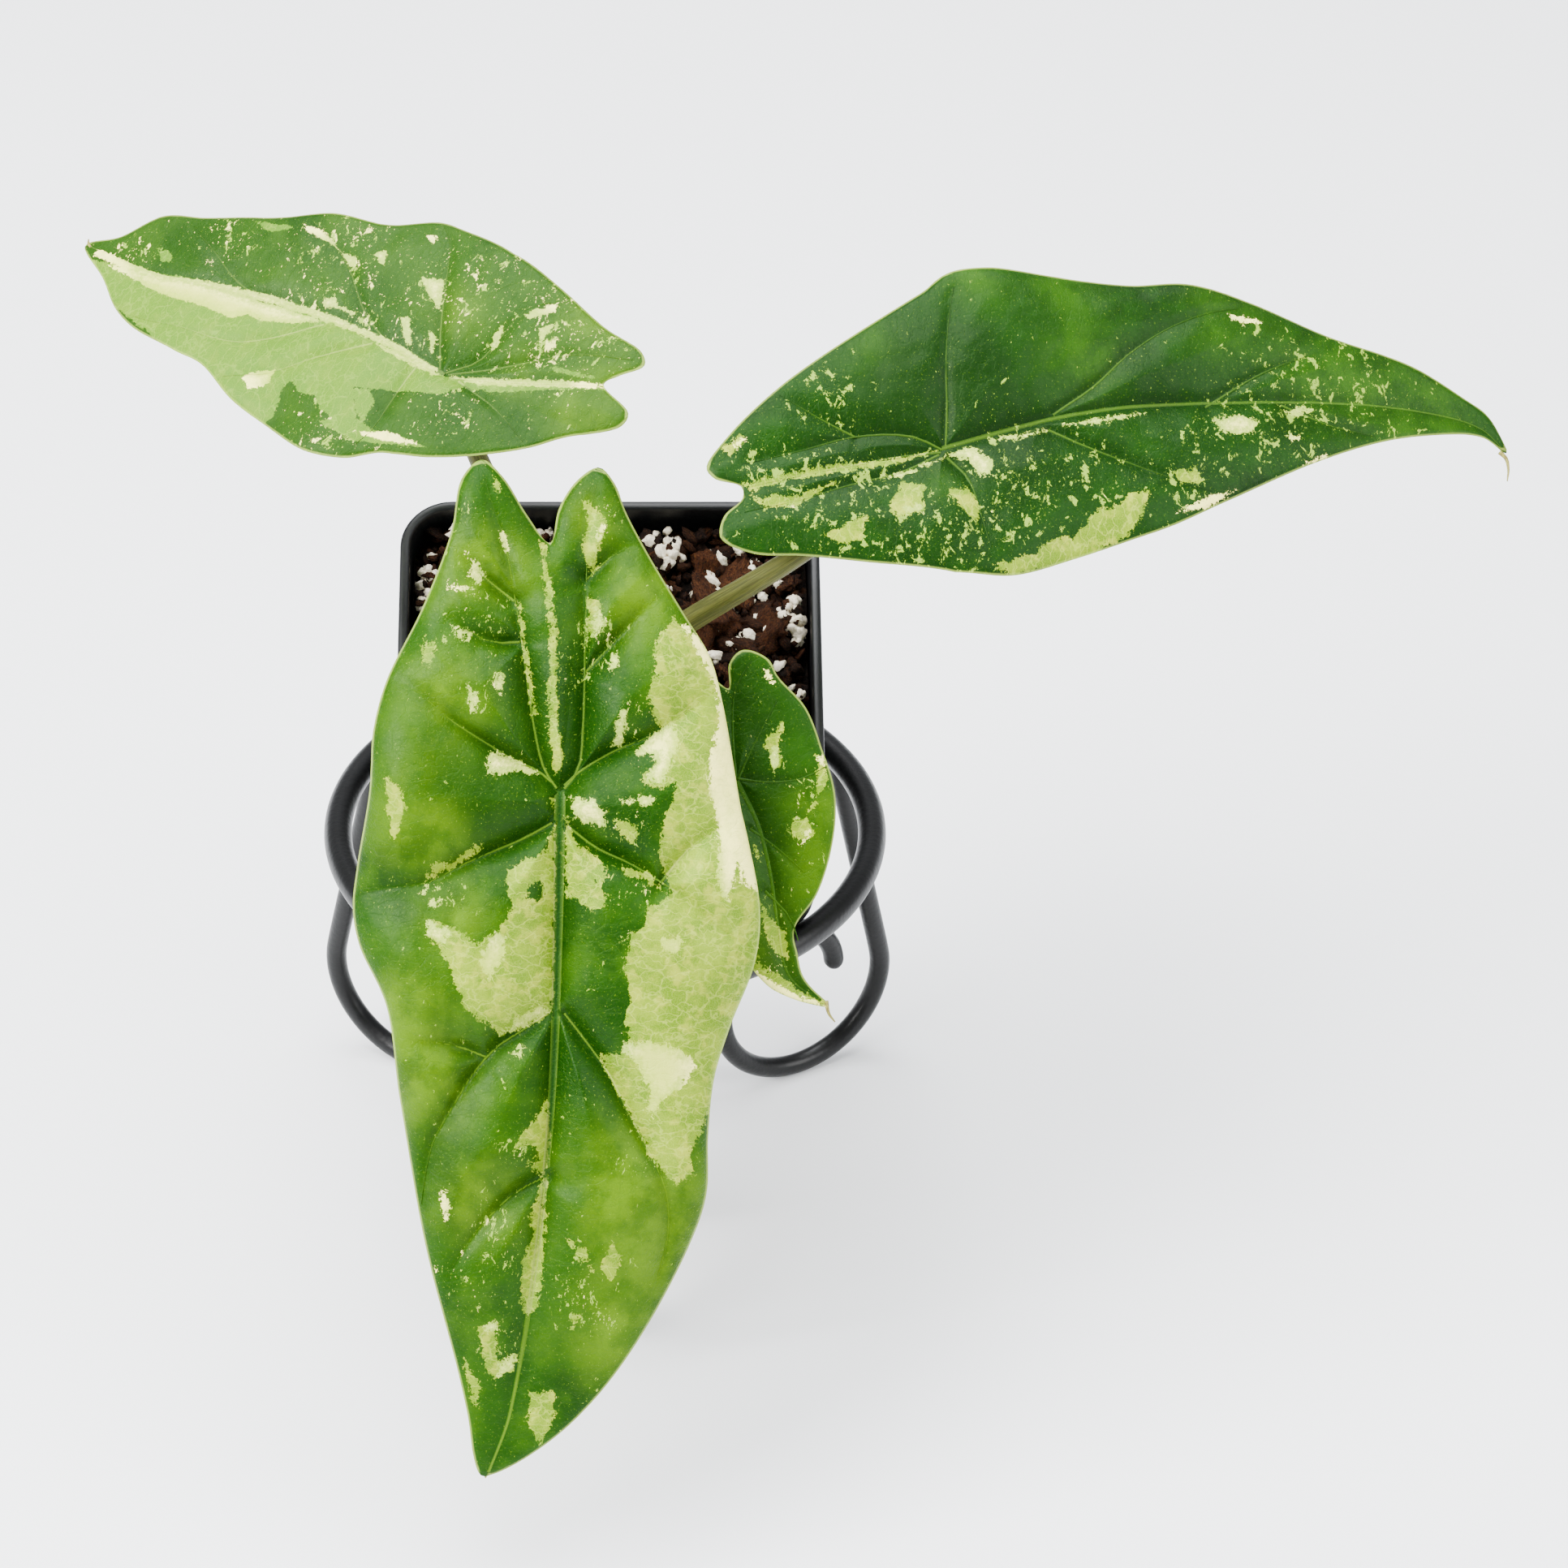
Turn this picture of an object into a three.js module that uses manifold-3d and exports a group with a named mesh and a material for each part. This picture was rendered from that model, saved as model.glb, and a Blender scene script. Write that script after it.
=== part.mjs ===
// Potted alocasia: four arrow-shaped leaves on their stalks, a square nursery pot of bark mix,
// and the three-legged ring stand that the pot leans in.
// Millimetres, +Z up. The middle of the ring, in plan, is the point that every place is measured from.
import * as THREE from 'three';
import { mergeVertices } from 'three/addons/utils/BufferGeometryUtils.js';
import Module from 'manifold-3d';

const wasm = await Module();
wasm.setup();

// Clearance between pieces that touch
const GAP = 0.3;

// Ring stand
const RING = { radius: 58.5, rod: 3.05, height: 89.2, turns: 52, sides: 10 };
const LEG = { rod: 2.4, lean: 13.2, topRadius: 59.9, topDrop: 3.0, sides: 8, steps: 56, sole: 0.7 };
const SCROLL = { radius: 52.5, drop: 65.5, outer: 21.5, inner: 14.1, turnAngle: 138, endAngle: -6 };
const LEG_ANGLES = { stand_leg_right: 30, stand_leg_left: 150, stand_leg_front: 270 };
const STAND_TURN = -1;

// Square nursery pot, and how it leans in the ring
const POT = {
  half: 44.5, corner: 10, height: 88, base: 31, wall: 1.2, lip: 0.9, lipHeight: 2.4,
  band: 30, bandStep: 1.0, floorCorner: 7, holeRadius: 4, holeOffset: 17,
};
const POT_LEAN = 30;
const POT_RIM_CENTRE = [1.0, -18.9, 138.05];

// Potting mix and the short stem that stands in it
const SOIL = { drop: 8.5, relief: 0.9, barkPitch: 10.6, perliteCount: 60 };
const STEM = { radius: 7.4, depth: 24, rise: 7.5, place: [0.5, -2.0] };

// Leaf blades: thickness, and how the flat outline is bent.
// Every outline runs round the blade from the notch between the two back lobes:
// u is millimetres from the navel towards the tip, v is millimetres to the side.
const BLADE = 0.8;
const LEAVES = {
  leaf_front: {
    navel: [-8.8, -75, 150.8], along: [-0.105, -0.558, -0.823], face: [0.02, -0.829, 0.559],
    archTip: 0.0007, archLobe: 0.0012, rise: 0.12, curl: 0.0032, wave: 1.2, waveLength: 52,
    midrib: [[0, 0], [28, 2.5], [60, 4.7], [92, 5], [124, 3.2], [137.5, 0]],
    outline: [
      [-48, -7], [-53, -12], [-60, -17.5], [-63, -22], [-59, -25.5], [-48, -26.5], [-33, -30.5],
      [-18, -36], [-8, -37.5], [2, -37], [19, -38], [27, -38], [34, -36], [45, -29.5], [63, -25],
      [90, -17.5], [115, -8.5], [134, -3], [137.5, -1], [137, 1], [133, 7], [120, 19], [104, 28],
      [86, 35], [76, 37], [64, 36], [53, 36], [43, 38], [30, 41.5], [20, 41.5], [7, 38],
      [-6, 34], [-20, 30], [-29, 26.5], [-37, 20.5], [-47, 13], [-56, 7], [-61, 4.5],
      [-64, 1], [-61, -3], [-55, -6],
    ],
    rim: 68, rings: 6, color: 0x4d8f22,
  },
  leaf_left: {
    navel: [-32.2, -10, 207.3], along: [-0.859, 0.5, 0.112], face: [-0.18, -0.499, 0.848],
    archTip: 0.001, archLobe: 0.0012, rise: 0.14, curl: 0.004, wave: 1.0, waveLength: 44,
    midrib: [[0, 0], [15, -2.3], [40, -2.5], [57, -0.8], [70, 1.3], [91, 0]],
    outline: [
      [-31, -11], [-33, -14], [-36.5, -18], [-34.5, -20.5], [-25, -22.5], [-13, -26.5], [0, -29.5],
      [13, -31], [19, -31], [29, -26], [41, -24], [51, -19.5], [68, -14], [77, -11.5], [84.5, -4],
      [91.5, 0], [82, 6.5], [75, 12], [67, 15.2], [56, 16.8], [49, 17.5], [39, 22], [29, 24.5],
      [17, 27], [9, 25.5], [2, 21], [-7, 18], [-16, 13.5], [-24, 8], [-30, 2], [-38.5, -4.5],
      [-38.5, -7.5],
    ],
    rim: 56, rings: 5, color: 0x6fa23a,
  },
  leaf_right: {
    navel: [67.4, -20, 196], along: [0.99, 0.136, -0.039], face: [0.12, -0.661, 0.741],
    archTip: 0.0012, archLobe: 0.0012, rise: 0.12, curl: 0.0032, wave: 1.1, waveLength: 50,
    midrib: [[0, 0], [12, 3], [24, 5.7], [41, 8], [77, 9.3], [95, 9.1], [110, 7.7], [119, 5.3], [124, 0.8]],
    outline: [
      [-41, -8.5], [-41, -6], [-46, -4], [-47.5, -1.5], [-43, 4.5], [-32, 14], [-15, 25], [-2, 32.5],
      [4, 36.5], [12, 37.5], [25, 36], [42, 34], [55, 34], [69, 30], [86, 23.5], [104, 18], [116, 11.5],
      [122, 6.5], [124.5, 0.8], [121.5, 2.2], [117, 3.8], [108, 3.4], [96, 1.5], [77, -4.5], [58, -12.5],
      [44, -18.3], [26, -23.5], [12, -27], [-1, -26], [-16, -23.3], [-30, -21], [-40, -20], [-46, -16.5],
      [-45, -12],
    ],
    rim: 60, rings: 6, color: 0x3d7a22,
  },
  leaf_small: {
    navel: [26.1, -66, 147], along: [0.383, -0.517, -0.766], face: [0.1, -0.801, 0.591],
    archTip: 0.0012, archLobe: 0.0012, rise: 0.12, curl: 0.005, wave: 0.7, waveLength: 34,
    midrib: [[0, 0], [10, 0.5], [20, -1], [30, -3.5], [40, -5], [48.5, 0]],
    outline: [
      [-17.5, 5.5], [-21.5, 2.5], [-20, -4], [-16, -10], [-9, -15], [0, -17.5], [10, -17.5],
      [20, -16.5], [28, -14.3], [36, -11.3], [42, -8.3], [46, -4], [48.5, 0], [44, -1.6], [37, -2],
      [31.5, -0.6], [27, 6], [20, 12], [12, 16.3], [2, 18], [-8, 18.3], [-16, 15.5],
      [-20, 15], [-23.5, 11], [-22, 7.5],
    ],
    rim: 44, rings: 4, color: 0x4f8a2c,
  },
};

// Leaf stalks: the points between the stem and the blade, and the radius at foot and top
const STALKS = {
  stalk_front: { leaf: 'leaf_front', foot: [-3.6, -3.2], foot_radius: 3.1, top_radius: 2.2,
    via: [[-4, -33, 152], [-7, -48, 158], [-9, -63, 154]] },
  stalk_left: { leaf: 'leaf_left', foot: [-3.2, 3.6], foot_radius: 2.9, top_radius: 2.0,
    via: [[-6, -22, 152], [-16, -19, 170], [-25.5, -14, 190]] },
  stalk_right: { leaf: 'leaf_right', foot: [3.7, 3.2], foot_radius: 2.9, top_radius: 1.9,
    via: [[7, -25, 150], [16.4, -30, 161], [37.6, -30, 176.3], [51.6, -24, 184]] },
  stalk_small: { leaf: 'leaf_small', foot: [3.6, -3.6], foot_radius: 2.6, top_radius: 1.5,
    via: [[10, -35, 144], [17, -46, 150], [23, -57, 149]] },
};
const STALK_SIDES = 10;
const STALK_STEPS = 22;

// Finishes
const finish = (color, roughness, metalness = 0) =>
  new THREE.MeshStandardMaterial({ color, roughness, metalness });
const STAND_FINISH = finish(0x2c2d30, 0.45, 0.3);
const POT_FINISH = finish(0x17181b, 0.4);
const SOIL_FINISH = finish(0x4a2c1c, 0.9);
const STEM_FINISH = finish(0x6b7434, 0.5);
const STALK_FINISH = finish(0x6f7a35, 0.45);

const radians = THREE.MathUtils.degToRad;
const vector = (xyz) => new THREE.Vector3(...xyz);

// Small seeded generator, so that the mix is the same every time
function seeded(seed) {
  let state = seed;
  return () => {
    state = (state * 1664525 + 1013904223) % 4294967296;
    return state / 4294967296;
  };
}

// Solids and meshes
function indexed(points, faces) {
  const geometry = new THREE.BufferGeometry();
  geometry.setAttribute('position', new THREE.Float32BufferAttribute(points.flat(), 3));
  geometry.setIndex(faces.flat());
  return geometry;
}

function solid(geometry) {
  const bare = geometry.clone();
  bare.deleteAttribute('normal');
  bare.deleteAttribute('uv');
  const merged = mergeVertices(bare, 1e-4);
  return new wasm.Manifold(new wasm.Mesh({
    numProp: 3,
    vertProperties: Float32Array.from(merged.attributes.position.array),
    triVerts: Uint32Array.from(merged.index.array),
  }));
}

function geometryOf(manifold) {
  const mesh = manifold.getMesh();
  const geometry = new THREE.BufferGeometry();
  geometry.setAttribute('position', new THREE.BufferAttribute(Float32Array.from(mesh.vertProperties), 3));
  geometry.setIndex(new THREE.BufferAttribute(Uint32Array.from(mesh.triVerts), 1));
  return geometry;
}

function piece(name, geometry, material) {
  geometry.computeVertexNormals();
  const mesh = new THREE.Mesh(geometry, material);
  mesh.name = name;
  return mesh;
}

// A stack of closed loops with equal counts, joined in order and capped at both ends
function loft(loops) {
  const count = loops[0].length;
  const points = loops.flat();
  const faces = [];
  for (let k = 0; k < loops.length - 1; k += 1) {
    for (let i = 0; i < count; i += 1) {
      const j = (i + 1) % count;
      const [a, b] = [k * count + i, k * count + j];
      const [c, d] = [a + count, b + count];
      faces.push([a, b, d], [a, d, c]);
    }
  }
  const middle = (loop) => [0, 1, 2].map((axis) => loop.reduce((sum, p) => sum + p[axis], 0) / count);
  const first = points.push(middle(loops[0])) - 1;
  const last = points.push(middle(loops[loops.length - 1])) - 1;
  const top = (loops.length - 1) * count;
  for (let i = 0; i < count; i += 1) {
    const j = (i + 1) % count;
    faces.push([first, j, i], [last, top + i, top + j]);
  }
  return indexed(points, faces);
}

// A round rod along a curve, with its own radius at each step
function rod(curve, radiusAt, sides, steps) {
  const frames = curve.computeFrenetFrames(steps, false);
  const loops = [];
  for (let k = 0; k <= steps; k += 1) {
    const centre = curve.getPointAt(k / steps);
    const radius = radiusAt(k / steps);
    const loop = [];
    for (let i = 0; i < sides; i += 1) {
      const angle = (2 * Math.PI * (i + 0.5)) / sides;
      const point = centre.clone()
        .addScaledVector(frames.normals[k], radius * Math.cos(angle))
        .addScaledVector(frames.binormals[k], radius * Math.sin(angle));
      loop.push(point.toArray());
    }
    loops.push(loop);
  }
  return loft(loops);
}

// Ring stand
function makeRing() {
  const geometry = new THREE.TorusGeometry(RING.radius, RING.rod, RING.sides, RING.turns);
  const ring = piece('stand_ring', geometryOf(solid(geometry)), STAND_FINISH);
  ring.position.z = RING.height;
  return ring;
}

function scrollPath(turn) {
  const across = new THREE.Vector3(Math.cos(turn), Math.sin(turn), 0);
  const place = (radius, drop) => across.clone().multiplyScalar(radius).setZ(RING.height - drop);
  const points = [place(LEG.topRadius, LEG.topDrop + GAP)];
  const arc = (radius, drop, size, from, to, step) => {
    for (let angle = from; angle >= to; angle -= step) {
      const a = radians(angle);
      points.push(place(radius + size * Math.cos(a), drop - size * Math.sin(a)));
    }
  };
  const start = LEG.lean;
  const { radius, drop, outer, inner, turnAngle, endAngle } = SCROLL;
  for (const share of [0.35, 0.7]) {
    const endRadius = radius + outer * Math.cos(radians(start));
    const endDrop = drop - outer * Math.sin(radians(start));
    points.push(place(LEG.topRadius + share * (endRadius - LEG.topRadius),
      LEG.topDrop + share * (endDrop - LEG.topDrop)));
  }
  arc(radius, drop, outer, start, turnAngle - 360, 18);
  const shift = outer - inner;
  const turned = radians(turnAngle);
  arc(radius + shift * Math.cos(turned), drop - shift * Math.sin(turned), inner, turnAngle - 14, endAngle, 16);
  return new THREE.CatmullRomCurve3(points, false, 'centripetal');
}

function makeLeg(name, angle) {
  const curve = scrollPath(radians(angle + STAND_TURN));
  const rounded = 0.985;
  const radiusAt = (t) => (t <= rounded ? LEG.rod
    : LEG.rod * Math.sqrt(Math.max(0.16, 1 - ((t - rounded) / (1 - rounded)) ** 2)));
  const geometry = rod(curve, radiusAt, LEG.sides, LEG.steps);
  const place = geometry.attributes.position;
  for (let i = 0; i < place.count; i += 1) {
    place.setZ(i, place.getZ(i) < LEG.sole ? 0 : place.getZ(i));
  }
  return piece(name, geometryOf(solid(geometry)), STAND_FINISH);
}

// Pot, mix and stem, in the pot's own frame: the middle of the rim is the origin, +Z its mouth
function roundedSquare(half, corner, z, steps = 4) {
  const loop = [];
  for (let quarter = 0; quarter < 4; quarter += 1) {
    const middle = radians(45 + 90 * quarter);
    const sx = Math.sign(Math.cos(middle));
    const sy = Math.sign(Math.sin(middle));
    for (let k = 0; k <= steps; k += 1) {
      const angle = radians(90 * quarter + (90 * k) / steps);
      loop.push([sx * (half - corner) + corner * Math.cos(angle),
        sy * (half - corner) + corner * Math.sin(angle), z]);
    }
  }
  return loop;
}

// Half width of the pot's wall, outside, at a depth below the rim
function potHalf(depth) {
  const top = POT.half - POT.lip;
  const under = top - 0.3 - POT.bandStep;
  if (depth <= POT.band) {
    return top - 0.3 * (depth / POT.band);
  }
  return under - (under - POT.base) * ((depth - POT.band) / (POT.height - POT.band));
}

function makePot() {
  const wall = (depth, inset = 0, corner = POT.corner) =>
    roundedSquare(potHalf(depth) - inset, corner - inset, -depth);
  const floor = POT.height - POT.wall * 1.5;
  const inside = POT.wall;
  const shell = loft([
    roundedSquare(POT.base - 1.5, POT.floorCorner, -POT.height),
    roundedSquare(POT.base, POT.floorCorner + 1, -(POT.height - 1.5)),
    wall(POT.band + 0.8, 0, POT.corner - 0.6),
    wall(POT.band, 0),
    wall(POT.lipHeight, 0),
    roundedSquare(POT.half, POT.corner + POT.lip, -POT.lipHeight),
    roundedSquare(POT.half, POT.corner + POT.lip, -0.5),
    roundedSquare(POT.half - 0.4, POT.corner + 0.5, 0),
    roundedSquare(potHalf(0) - inside + 0.3, POT.corner - inside, 0),
    wall(0.6, inside),
    wall(POT.band, inside + 0.9),
    roundedSquare(potHalf(floor) - inside, POT.floorCorner, -floor),
  ]);
  const hole = (x, y) => {
    const cut = new THREE.CylinderGeometry(POT.holeRadius, POT.holeRadius, 8, 14);
    cut.rotateX(Math.PI / 2);
    cut.translate(x, y, -POT.height);
    return solid(cut);
  };
  let pot = solid(shell).subtract(hole(0, 0));
  for (const [sx, sy] of [[1, 1], [-1, 1], [-1, -1], [1, -1]]) {
    pot = pot.subtract(hole(sx * POT.holeOffset, sy * POT.holeOffset));
  }
  return piece('pot', geometryOf(pot), POT_FINISH);
}

// Room inside the pot that the mix may fill, up to the rim
function potRoom(top) {
  const inset = POT.wall + GAP;
  const floor = POT.height - POT.wall * 1.5 - GAP;
  return [
    roundedSquare(potHalf(floor) - inset, POT.floorCorner - 0.5, -floor),
    roundedSquare(potHalf(POT.band) - inset - 1.0, POT.corner - inset - 0.9, -POT.band - 1),
    roundedSquare(potHalf(0) - inset - 0.3, POT.corner - inset, -top),
  ];
}

const relief = (x, y) => SOIL.relief * (Math.sin(x * 0.31 + 1.2) * Math.cos(y * 0.27)
  + 0.6 * Math.sin(x * 0.13 - y * 0.19));

function lump(random, size) {
  const block = solid(new THREE.BoxGeometry(...size));
  const geometry = geometryOf(block);
  const corners = geometry.attributes.position;
  for (let i = 0; i < corners.count; i += 1) {
    corners.setXYZ(i,
      corners.getX(i) * (0.72 + 0.4 * random()),
      corners.getY(i) * (0.72 + 0.4 * random()),
      corners.getZ(i) * (0.72 + 0.4 * random()));
  }
  return geometry;
}

function turnedAt(geometry, random, x, y, z, tip) {
  geometry.rotateX((random() - 0.5) * tip);
  geometry.rotateY((random() - 0.5) * tip);
  geometry.rotateZ(random() * Math.PI);
  geometry.translate(x, y, z);
  return solid(geometry);
}

function makeSoil() {
  const random = seeded(41);
  const room = potRoom(SOIL.drop);
  const edge = room[2];
  const surface = [0.86, 0.7, 0.54, 0.38, 0.22, 0.08].map((share) => edge.map(([x, y]) => {
    const [px, py] = [x * share, y * share];
    return [px, py, -SOIL.drop + relief(px, py)];
  }));
  let mix = solid(loft([...room, ...surface]));
  const reach = potHalf(SOIL.drop) - POT.wall - 5;
  const rows = Math.floor((2 * reach) / SOIL.barkPitch);
  const lumps = [];
  for (let i = 0; i <= rows; i += 1) {
    for (let j = 0; j <= rows; j += 1) {
      const x = -reach + (i + 0.6 * (random() - 0.5)) * SOIL.barkPitch;
      const y = -reach + (j + 0.6 * (random() - 0.5)) * SOIL.barkPitch;
      const size = [7 + 5 * random(), 4.5 + 3 * random(), 3.2 + 2 * random()];
      const z = -SOIL.drop + relief(x, y) + 0.1 + 0.6 * random();
      lumps.push(turnedAt(lump(random, size), random, x, y, z, 0.9));
    }
  }
  for (let k = 0; k < SOIL.perliteCount; k += 1) {
    const x = (2 * random() - 1) * reach;
    const y = (2 * random() - 1) * reach;
    const grain = new THREE.OctahedronGeometry(1.7 + 0.8 * random(), 0);
    grain.deleteAttribute('uv');
    lumps.push(turnedAt(grain, random, x, y, -SOIL.drop + relief(x, y) + 1.6, 3));
  }
  mix = mix.add(wasm.Manifold.union(lumps));
  mix = mix.intersect(solid(loft(potRoom(0.5))));
  mix = mix.subtract(solid(stemProfile(GAP, 12)));
  const bodies = mix.decompose().sort((a, b) => b.volume() - a.volume());
  return piece('soil', geometryOf(bodies[0]), SOIL_FINISH);
}

// The short stem is a turned shape; grown by a clearance, it is also the hole that it stands in
function stemProfile(grow, extra) {
  const top = -SOIL.drop + STEM.rise + extra;
  const r = STEM.radius;
  const profile = [
    [0, -SOIL.drop - STEM.depth - grow], [0.45 * r + grow, -SOIL.drop - STEM.depth - grow],
    [0.85 * r + grow, -SOIL.drop - 0.6 * STEM.depth], [r + grow, -SOIL.drop - 2],
    [r + grow, top], [0, top],
  ];
  const geometry = new THREE.LatheGeometry(profile.map(([x, y]) => new THREE.Vector2(x, y)), 18);
  geometry.rotateX(Math.PI / 2);
  geometry.translate(STEM.place[0], STEM.place[1], 0);
  return geometry;
}

function makeStem() {
  return piece('stem', geometryOf(solid(stemProfile(0, 0))), STEM_FINISH);
}

// Leaf blades
function between(points, u) {
  if (u <= points[0][0]) {
    return points[0][1];
  }
  for (let i = 1; i < points.length; i += 1) {
    const [[u0, v0], [u1, v1]] = [points[i - 1], points[i]];
    if (u <= u1) {
      const before = points[i - 2] ?? points[i - 1];
      const after = points[i + 1] ?? points[i];
      const m0 = ((v1 - before[1]) / (u1 - before[0])) * (u1 - u0);
      const m1 = ((after[1] - v0) / (after[0] - u0)) * (u1 - u0);
      const s = (u - u0) / (u1 - u0);
      return (2 * s ** 3 - 3 * s ** 2 + 1) * v0 + (s ** 3 - 2 * s ** 2 + s) * m0
        + (3 * s ** 2 - 2 * s ** 3) * v1 + (s ** 3 - s ** 2) * m1;
    }
  }
  return points[points.length - 1][1];
}

// Height of the blade over its flat outline: arched along, folded at the midrib, rolled off
// towards the margin, and waved along the margin
function bladeHeight(leaf, u, side) {
  const arch = u > 0 ? leaf.archTip : leaf.archLobe;
  const wave = leaf.wave * Math.sin((2 * Math.PI * u) / leaf.waveLength + (side > 0 ? 0 : 1.8));
  return -arch * u * u + leaf.rise * Math.abs(side) - leaf.curl * side * side + wave * (side / 30) ** 2;
}

function bladeFrame(leaf) {
  const face = vector(leaf.face).normalize();
  const along = vector(leaf.along);
  along.addScaledVector(face, -along.dot(face)).normalize();
  return { origin: vector(leaf.navel), along, across: face.clone().cross(along), face };
}

function makeBlade(name, leaf) {
  const frame = bladeFrame(leaf);
  const corners = leaf.outline.map(([u, v]) => new THREE.Vector3(u, v - between(leaf.midrib, u), 0));
  const margin = new THREE.CatmullRomCurve3(corners, true, 'centripetal');
  const place = (u, side, lift) => frame.origin.clone()
    .addScaledVector(frame.along, u)
    .addScaledVector(frame.across, side + between(leaf.midrib, u))
    .addScaledVector(frame.face, bladeHeight(leaf, u, side) + lift)
    .toArray();
  const sheet = (lift) => {
    const points = [place(0, 0, lift)];
    for (let k = 1; k <= leaf.rings; k += 1) {
      for (let i = 0; i < leaf.rim; i += 1) {
        const edge = margin.getPoint(i / leaf.rim);
        points.push(place((edge.x * k) / leaf.rings, (edge.y * k) / leaf.rings, lift));
      }
    }
    return points;
  };
  const sheetSize = 1 + leaf.rings * leaf.rim;
  const faces = [];
  const both = (a, b, c) => {
    faces.push([a, c, b], [a + sheetSize, b + sheetSize, c + sheetSize]);
  };
  for (let i = 0; i < leaf.rim; i += 1) {
    const j = (i + 1) % leaf.rim;
    both(0, 1 + i, 1 + j);
    for (let k = 0; k < leaf.rings - 1; k += 1) {
      const [a, b] = [1 + k * leaf.rim + i, 1 + k * leaf.rim + j];
      both(a, a + leaf.rim, b + leaf.rim);
      both(a, b + leaf.rim, b);
    }
    const [p, q] = [1 + (leaf.rings - 1) * leaf.rim + i, 1 + (leaf.rings - 1) * leaf.rim + j];
    faces.push([p, q, q + sheetSize], [p, q + sheetSize, p + sheetSize]);
  }
  const geometry = indexed([...sheet(-BLADE / 2), ...sheet(BLADE / 2)], faces);
  return piece(name, geometryOf(outward(solid(geometry), geometry)), finish(leaf.color, 0.35));
}

// The outline may run either way round, so a solid that comes out inside out is turned
function outward(body, geometry) {
  if (body.volume() > 0) {
    return body;
  }
  const index = geometry.index.array;
  for (let i = 0; i < index.length; i += 3) {
    [index[i], index[i + 1]] = [index[i + 1], index[i]];
  }
  return solid(geometry);
}

// Leaf stalks: from the top of the stem to the underside of the blade at its navel
function makeStalk(name, stalk, potToPlant) {
  const frame = bladeFrame(LEAVES[stalk.leaf]);
  const stemTop = -SOIL.drop + STEM.rise + GAP;
  const [fx, fy] = [STEM.place[0] + stalk.foot[0], STEM.place[1] + stalk.foot[1]];
  const foot = [stemTop, stemTop + 5].map((z) => new THREE.Vector3(fx, fy, z).applyMatrix4(potToPlant));
  const under = (drop) => frame.origin.clone().addScaledVector(frame.face, -drop);
  const last = BLADE / 2 + GAP;
  const curve = new THREE.CatmullRomCurve3(
    [...foot, ...stalk.via.map(vector), under(last + 3), under(last)], false, 'centripetal');
  const radiusAt = (t) => stalk.foot_radius + (stalk.top_radius - stalk.foot_radius) * Math.min(1, 1.3 * t);
  return piece(name, rod(curve, radiusAt, STALK_SIDES, STALK_STEPS), STALK_FINISH);
}

// Assembly
const plant = new THREE.Group();
plant.add(makeRing());
for (const [name, angle] of Object.entries(LEG_ANGLES)) {
  plant.add(makeLeg(name, angle));
}

const potFrame = new THREE.Group();
potFrame.position.set(...POT_RIM_CENTRE);
potFrame.rotation.x = radians(POT_LEAN);
potFrame.add(makePot(), makeSoil(), makeStem());
potFrame.updateMatrix();
plant.add(potFrame);

for (const [name, leaf] of Object.entries(LEAVES)) {
  plant.add(makeBlade(name, leaf));
}
for (const [name, stalk] of Object.entries(STALKS)) {
  plant.add(makeStalk(name, stalk, potFrame.matrix));
}

// The whole part stands on the plane z = 0, centred over the origin
const object = new THREE.Group();
object.add(plant);
object.updateMatrixWorld(true);
const bounds = new THREE.Box3().setFromObject(plant, true);
const middle = bounds.getCenter(new THREE.Vector3());
plant.position.set(-middle.x, -middle.y, -bounds.min.z);
object.updateMatrixWorld(true);

export default object;
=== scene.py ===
"""Potted variegated alocasia: the looks of its blades, stalks, potting mix, pot and ring stand."""
import math
import random

import bpy
import numpy as np
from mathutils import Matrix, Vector, noise
from mathutils.geometry import tessellate_polygon


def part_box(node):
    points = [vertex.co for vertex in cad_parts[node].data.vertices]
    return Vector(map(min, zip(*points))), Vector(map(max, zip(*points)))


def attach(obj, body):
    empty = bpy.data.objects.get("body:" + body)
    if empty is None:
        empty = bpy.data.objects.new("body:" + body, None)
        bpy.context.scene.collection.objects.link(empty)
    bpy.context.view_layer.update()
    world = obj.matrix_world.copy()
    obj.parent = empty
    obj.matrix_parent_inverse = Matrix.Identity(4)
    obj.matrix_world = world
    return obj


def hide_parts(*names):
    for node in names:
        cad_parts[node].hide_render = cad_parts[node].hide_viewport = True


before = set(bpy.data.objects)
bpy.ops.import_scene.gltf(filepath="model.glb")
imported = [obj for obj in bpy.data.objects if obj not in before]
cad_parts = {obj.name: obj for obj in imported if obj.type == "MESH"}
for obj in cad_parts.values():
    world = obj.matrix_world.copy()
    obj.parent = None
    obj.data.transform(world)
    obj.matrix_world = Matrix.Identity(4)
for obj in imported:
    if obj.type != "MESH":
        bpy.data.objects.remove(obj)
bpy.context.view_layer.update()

# The parts are described in millimetres from the ring's axis, on the table, as in the solids
MM = 0.001
ring_low, ring_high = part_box("stand_ring")
SHIFT = np.array([(ring_low.x + ring_high.x) / 2, (ring_low.y + ring_high.y) / 2, 0.0])

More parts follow.
